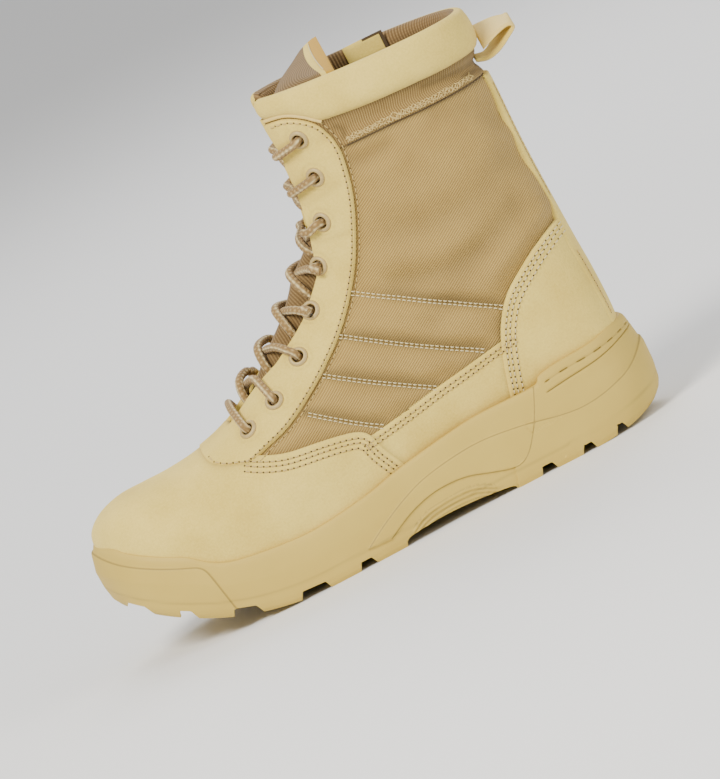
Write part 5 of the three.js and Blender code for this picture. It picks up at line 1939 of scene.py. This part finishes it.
# %% The pull loop
LOOP_LINE = [
    [-0.48, 0.139], [-0.092, 0.028], [0.324, 0.111], [0.711, 0.333], [1, 0.639],
    [0.884, 0.833], [0.497, 0.956], [-0.116, 1.0],
]
LOOP_REACH, LOOP_HEIGHT, LOOP_WIDTH, LOOP_STRIP = 17.3, 18, 20, 2.0
LOOP_NEAR_DROP = [0, 0, 0, 0.5, 2.5, 3.5, 7, 12]
LOOP_FAR_RISE = [1, 2, 4.5, 6.5, 4, 0.5, 0, 0]
loop_low, loop_high = (np.array(corner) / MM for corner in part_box("pull_loop"))
loop_back = loop_high[0] - LOOP_REACH - LOOP_STRIP / 2
loop_foot = loop_low[2] + LOOP_STRIP / 2
line = np.array([[loop_back + x * LOOP_REACH, loop_foot + z * LOOP_HEIGHT] for x, z in LOOP_LINE])
fine = curve_through(np.column_stack([line, LOOP_NEAR_DROP, LOOP_FAR_RISE]), 60)
columns = np.linspace(-1, 1, 17)
loop_middle = np.array([
    [[x, c * LOOP_WIDTH / 2, z - drop * (1 - c) / 2 + rise * (1 + c) / 2] for c in columns]
    for x, z, drop, rise in fine
])
points, faces = sheet_of(loop_middle, LOOP_STRIP, 0.06)
pull_loop = piece("pull_loop_strip", points, faces, suede, "suede_tan", ["pull_loop"])
finish_faces(pull_loop, [trim], np.arange(len(faces)) >= len(faces) / 2)

# %% [markdown]
# A small tan tab is sewn flat to the lining on the inner side, with a dark bound top edge and a
# dark right edge that is painted shadow. It is left plain.

# %% The tab in the mouth
TAB_ALONG = (0.772, 0.846)
TAB_RUNGS = (4.86, 4.975)
TAB_OFF_LINING = 1.4
TAB_THICKNESS = 1.2
TAB_COLUMNS, TAB_ROWS = 13, 9
TOP_BOUND_FROM = 6


def tab_net():
    """Rows of points, from the lowest up, that stand straight up from the lining."""
    xs = np.linspace(*along(TAB_ALONG), TAB_COLUMNS)
    zs = np.linspace(*rung_height(TAB_RUNGS), TAB_ROWS)
    found = [meet([collar_tree], (x, 0, zs[0]), (0, 1, 0)) for x in xs]
    y = np.array([spot[0][1] for spot in found]) - TAB_OFF_LINING
    return np.array([np.column_stack([xs, y, np.full(len(xs), z)]) for z in zs])


collar_tree = BVHTree.FromPolygons(
    collar_points(collar_corners).tolist(), collar_triangles.tolist()
)
tab_middle = tab_net()
points, faces = sheet_of(tab_middle, TAB_THICKNESS, 0.12)
tab = piece("mouth_tab", points, faces, suede, "lining_brown", ["collar_tab"])
# The dark top edge is the tab's binding; the dark right edge is painted shadow beside the tab.
rows, columns = np.divmod(np.arange(len(faces) // 2), TAB_COLUMNS - 1)
bound_top = (rows == TAB_ROWS - 2) & (columns >= TOP_BOUND_FROM)
finish_faces(tab, [shade_and_binding_dark], np.tile(bound_top | (columns == TAB_COLUMNS - 2), 2))

# %% [markdown]
# A narrow piping of smooth leather shows between the facing and the collar at the front. The
# footbed closes the boot inside.

# %% Piping and footbed
PIPING_LINE = [[0.588, 4.872], [0.629, 4.868], [0.661, 4.815], [0.684, 4.752]]
PIPING_WIDTH, PIPING_STEP, PIPING_LIFT, PIPING_SIDES = 2.2, 1.2, 0.2, 8
piping_parts = []
for side in (OUTER, INNER):
    spots = spots_on(along_line(edge(PIPING_LINE, 30), PIPING_STEP), side)
    path = np.array([spot[0] + spot[1] * PIPING_LIFT for spot in spots if spot is not None])
    piping_parts.append(tube(path, PIPING_WIDTH / 2, PIPING_SIDES)[:2])
piece("piping", *joined_faces(piping_parts), trim, "suede_tan")
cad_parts["insole"].data.materials.clear()
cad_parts["insole"].data.materials.append(footbed)

# %% [markdown]
# ## Light, floor and camera
#
# The photograph was taken from the boot's outer side with a long lens, a little above it, and the
# boot leans in the picture. The boot stands level here, so the camera is rolled instead.

# %% Floor and light
PHOTO_TILT = math.radians(27)
PHOTO_DIP = math.radians(8.2)
PHOTO_HEIGHT = 0.4108
PHOTO_TARGET = Vector((0.0047, 0.0, 0.0786))
CAMERA_DISTANCE = 5.0
SENSOR = 36.0
KEY_WARMTH = (1.0, 0.96, 0.88)
FLOOR_HALF = 6.0
WORLD_STRENGTH = 0.66


def pale_floor():
    mesh = bpy.data.meshes.new("floor")
    half = FLOOR_HALF
    mesh.from_pydata([(-half, -half, 0), (half, -half, 0), (half, half, 0), (-half, half, 0)], [],
                     [(0, 1, 2, 3)])
    made = bpy.data.objects.new("floor", mesh)
    bpy.context.scene.collection.objects.link(made)
    finish, shader, _ = finish_of("floor", Roughness=0.9)
    shader.inputs["Base Color"].default_value = (0.82, 0.82, 0.82, 1)
    mesh.materials.append(finish)


def soft_light(name, place, size, power, colour=(1, 1, 1), target=(0, 0, 0.1)):
    light = bpy.data.lights.new(name, "AREA")
    light.color = colour
    light.shape = "DISK"
    light.size = size
    light.energy = power
    made = bpy.data.objects.new(name, light)
    made.location = place
    made.rotation_euler = (Vector(target) - Vector(place)).to_track_quat("-Z", "Y").to_euler()
    bpy.context.scene.collection.objects.link(made)


pale_floor()
soft_light("key", (-0.9, -1.3, 1.6), size=0.9, power=60, colour=KEY_WARMTH)
soft_light("fill", (1.4, -1.0, 0.9), size=1.6, power=15)
soft_light("rim", (0.2, 1.6, 1.5), size=1.4, power=24)
world = bpy.data.worlds.new("studio")
world.use_nodes = True
world.node_tree.nodes["Background"].inputs["Color"].default_value = (1, 1, 1, 1)
world.node_tree.nodes["Background"].inputs["Strength"].default_value = WORLD_STRENGTH
bpy.context.scene.world = world

# %% Camera
camera = bpy.data.cameras.new("camera")
camera.sensor_width = SENSOR
camera.lens = SENSOR * CAMERA_DISTANCE / PHOTO_HEIGHT
looking = Vector((0, math.cos(PHOTO_DIP), -math.sin(PHOTO_DIP)))
level_right = Vector((1, 0, 0))
level_up = level_right.cross(looking)
right = math.cos(PHOTO_TILT) * level_right - math.sin(PHOTO_TILT) * level_up
up = right.cross(looking)
turn = Matrix((right, up, -looking)).transposed().to_4x4()
camera_object = bpy.data.objects.new("camera", camera)
camera_object.matrix_world = Matrix.Translation(PHOTO_TARGET - CAMERA_DISTANCE * looking) @ turn
bpy.context.scene.collection.objects.link(camera_object)
bpy.context.scene.camera = camera_object
print("lens", round(camera.lens, 1), "mm")
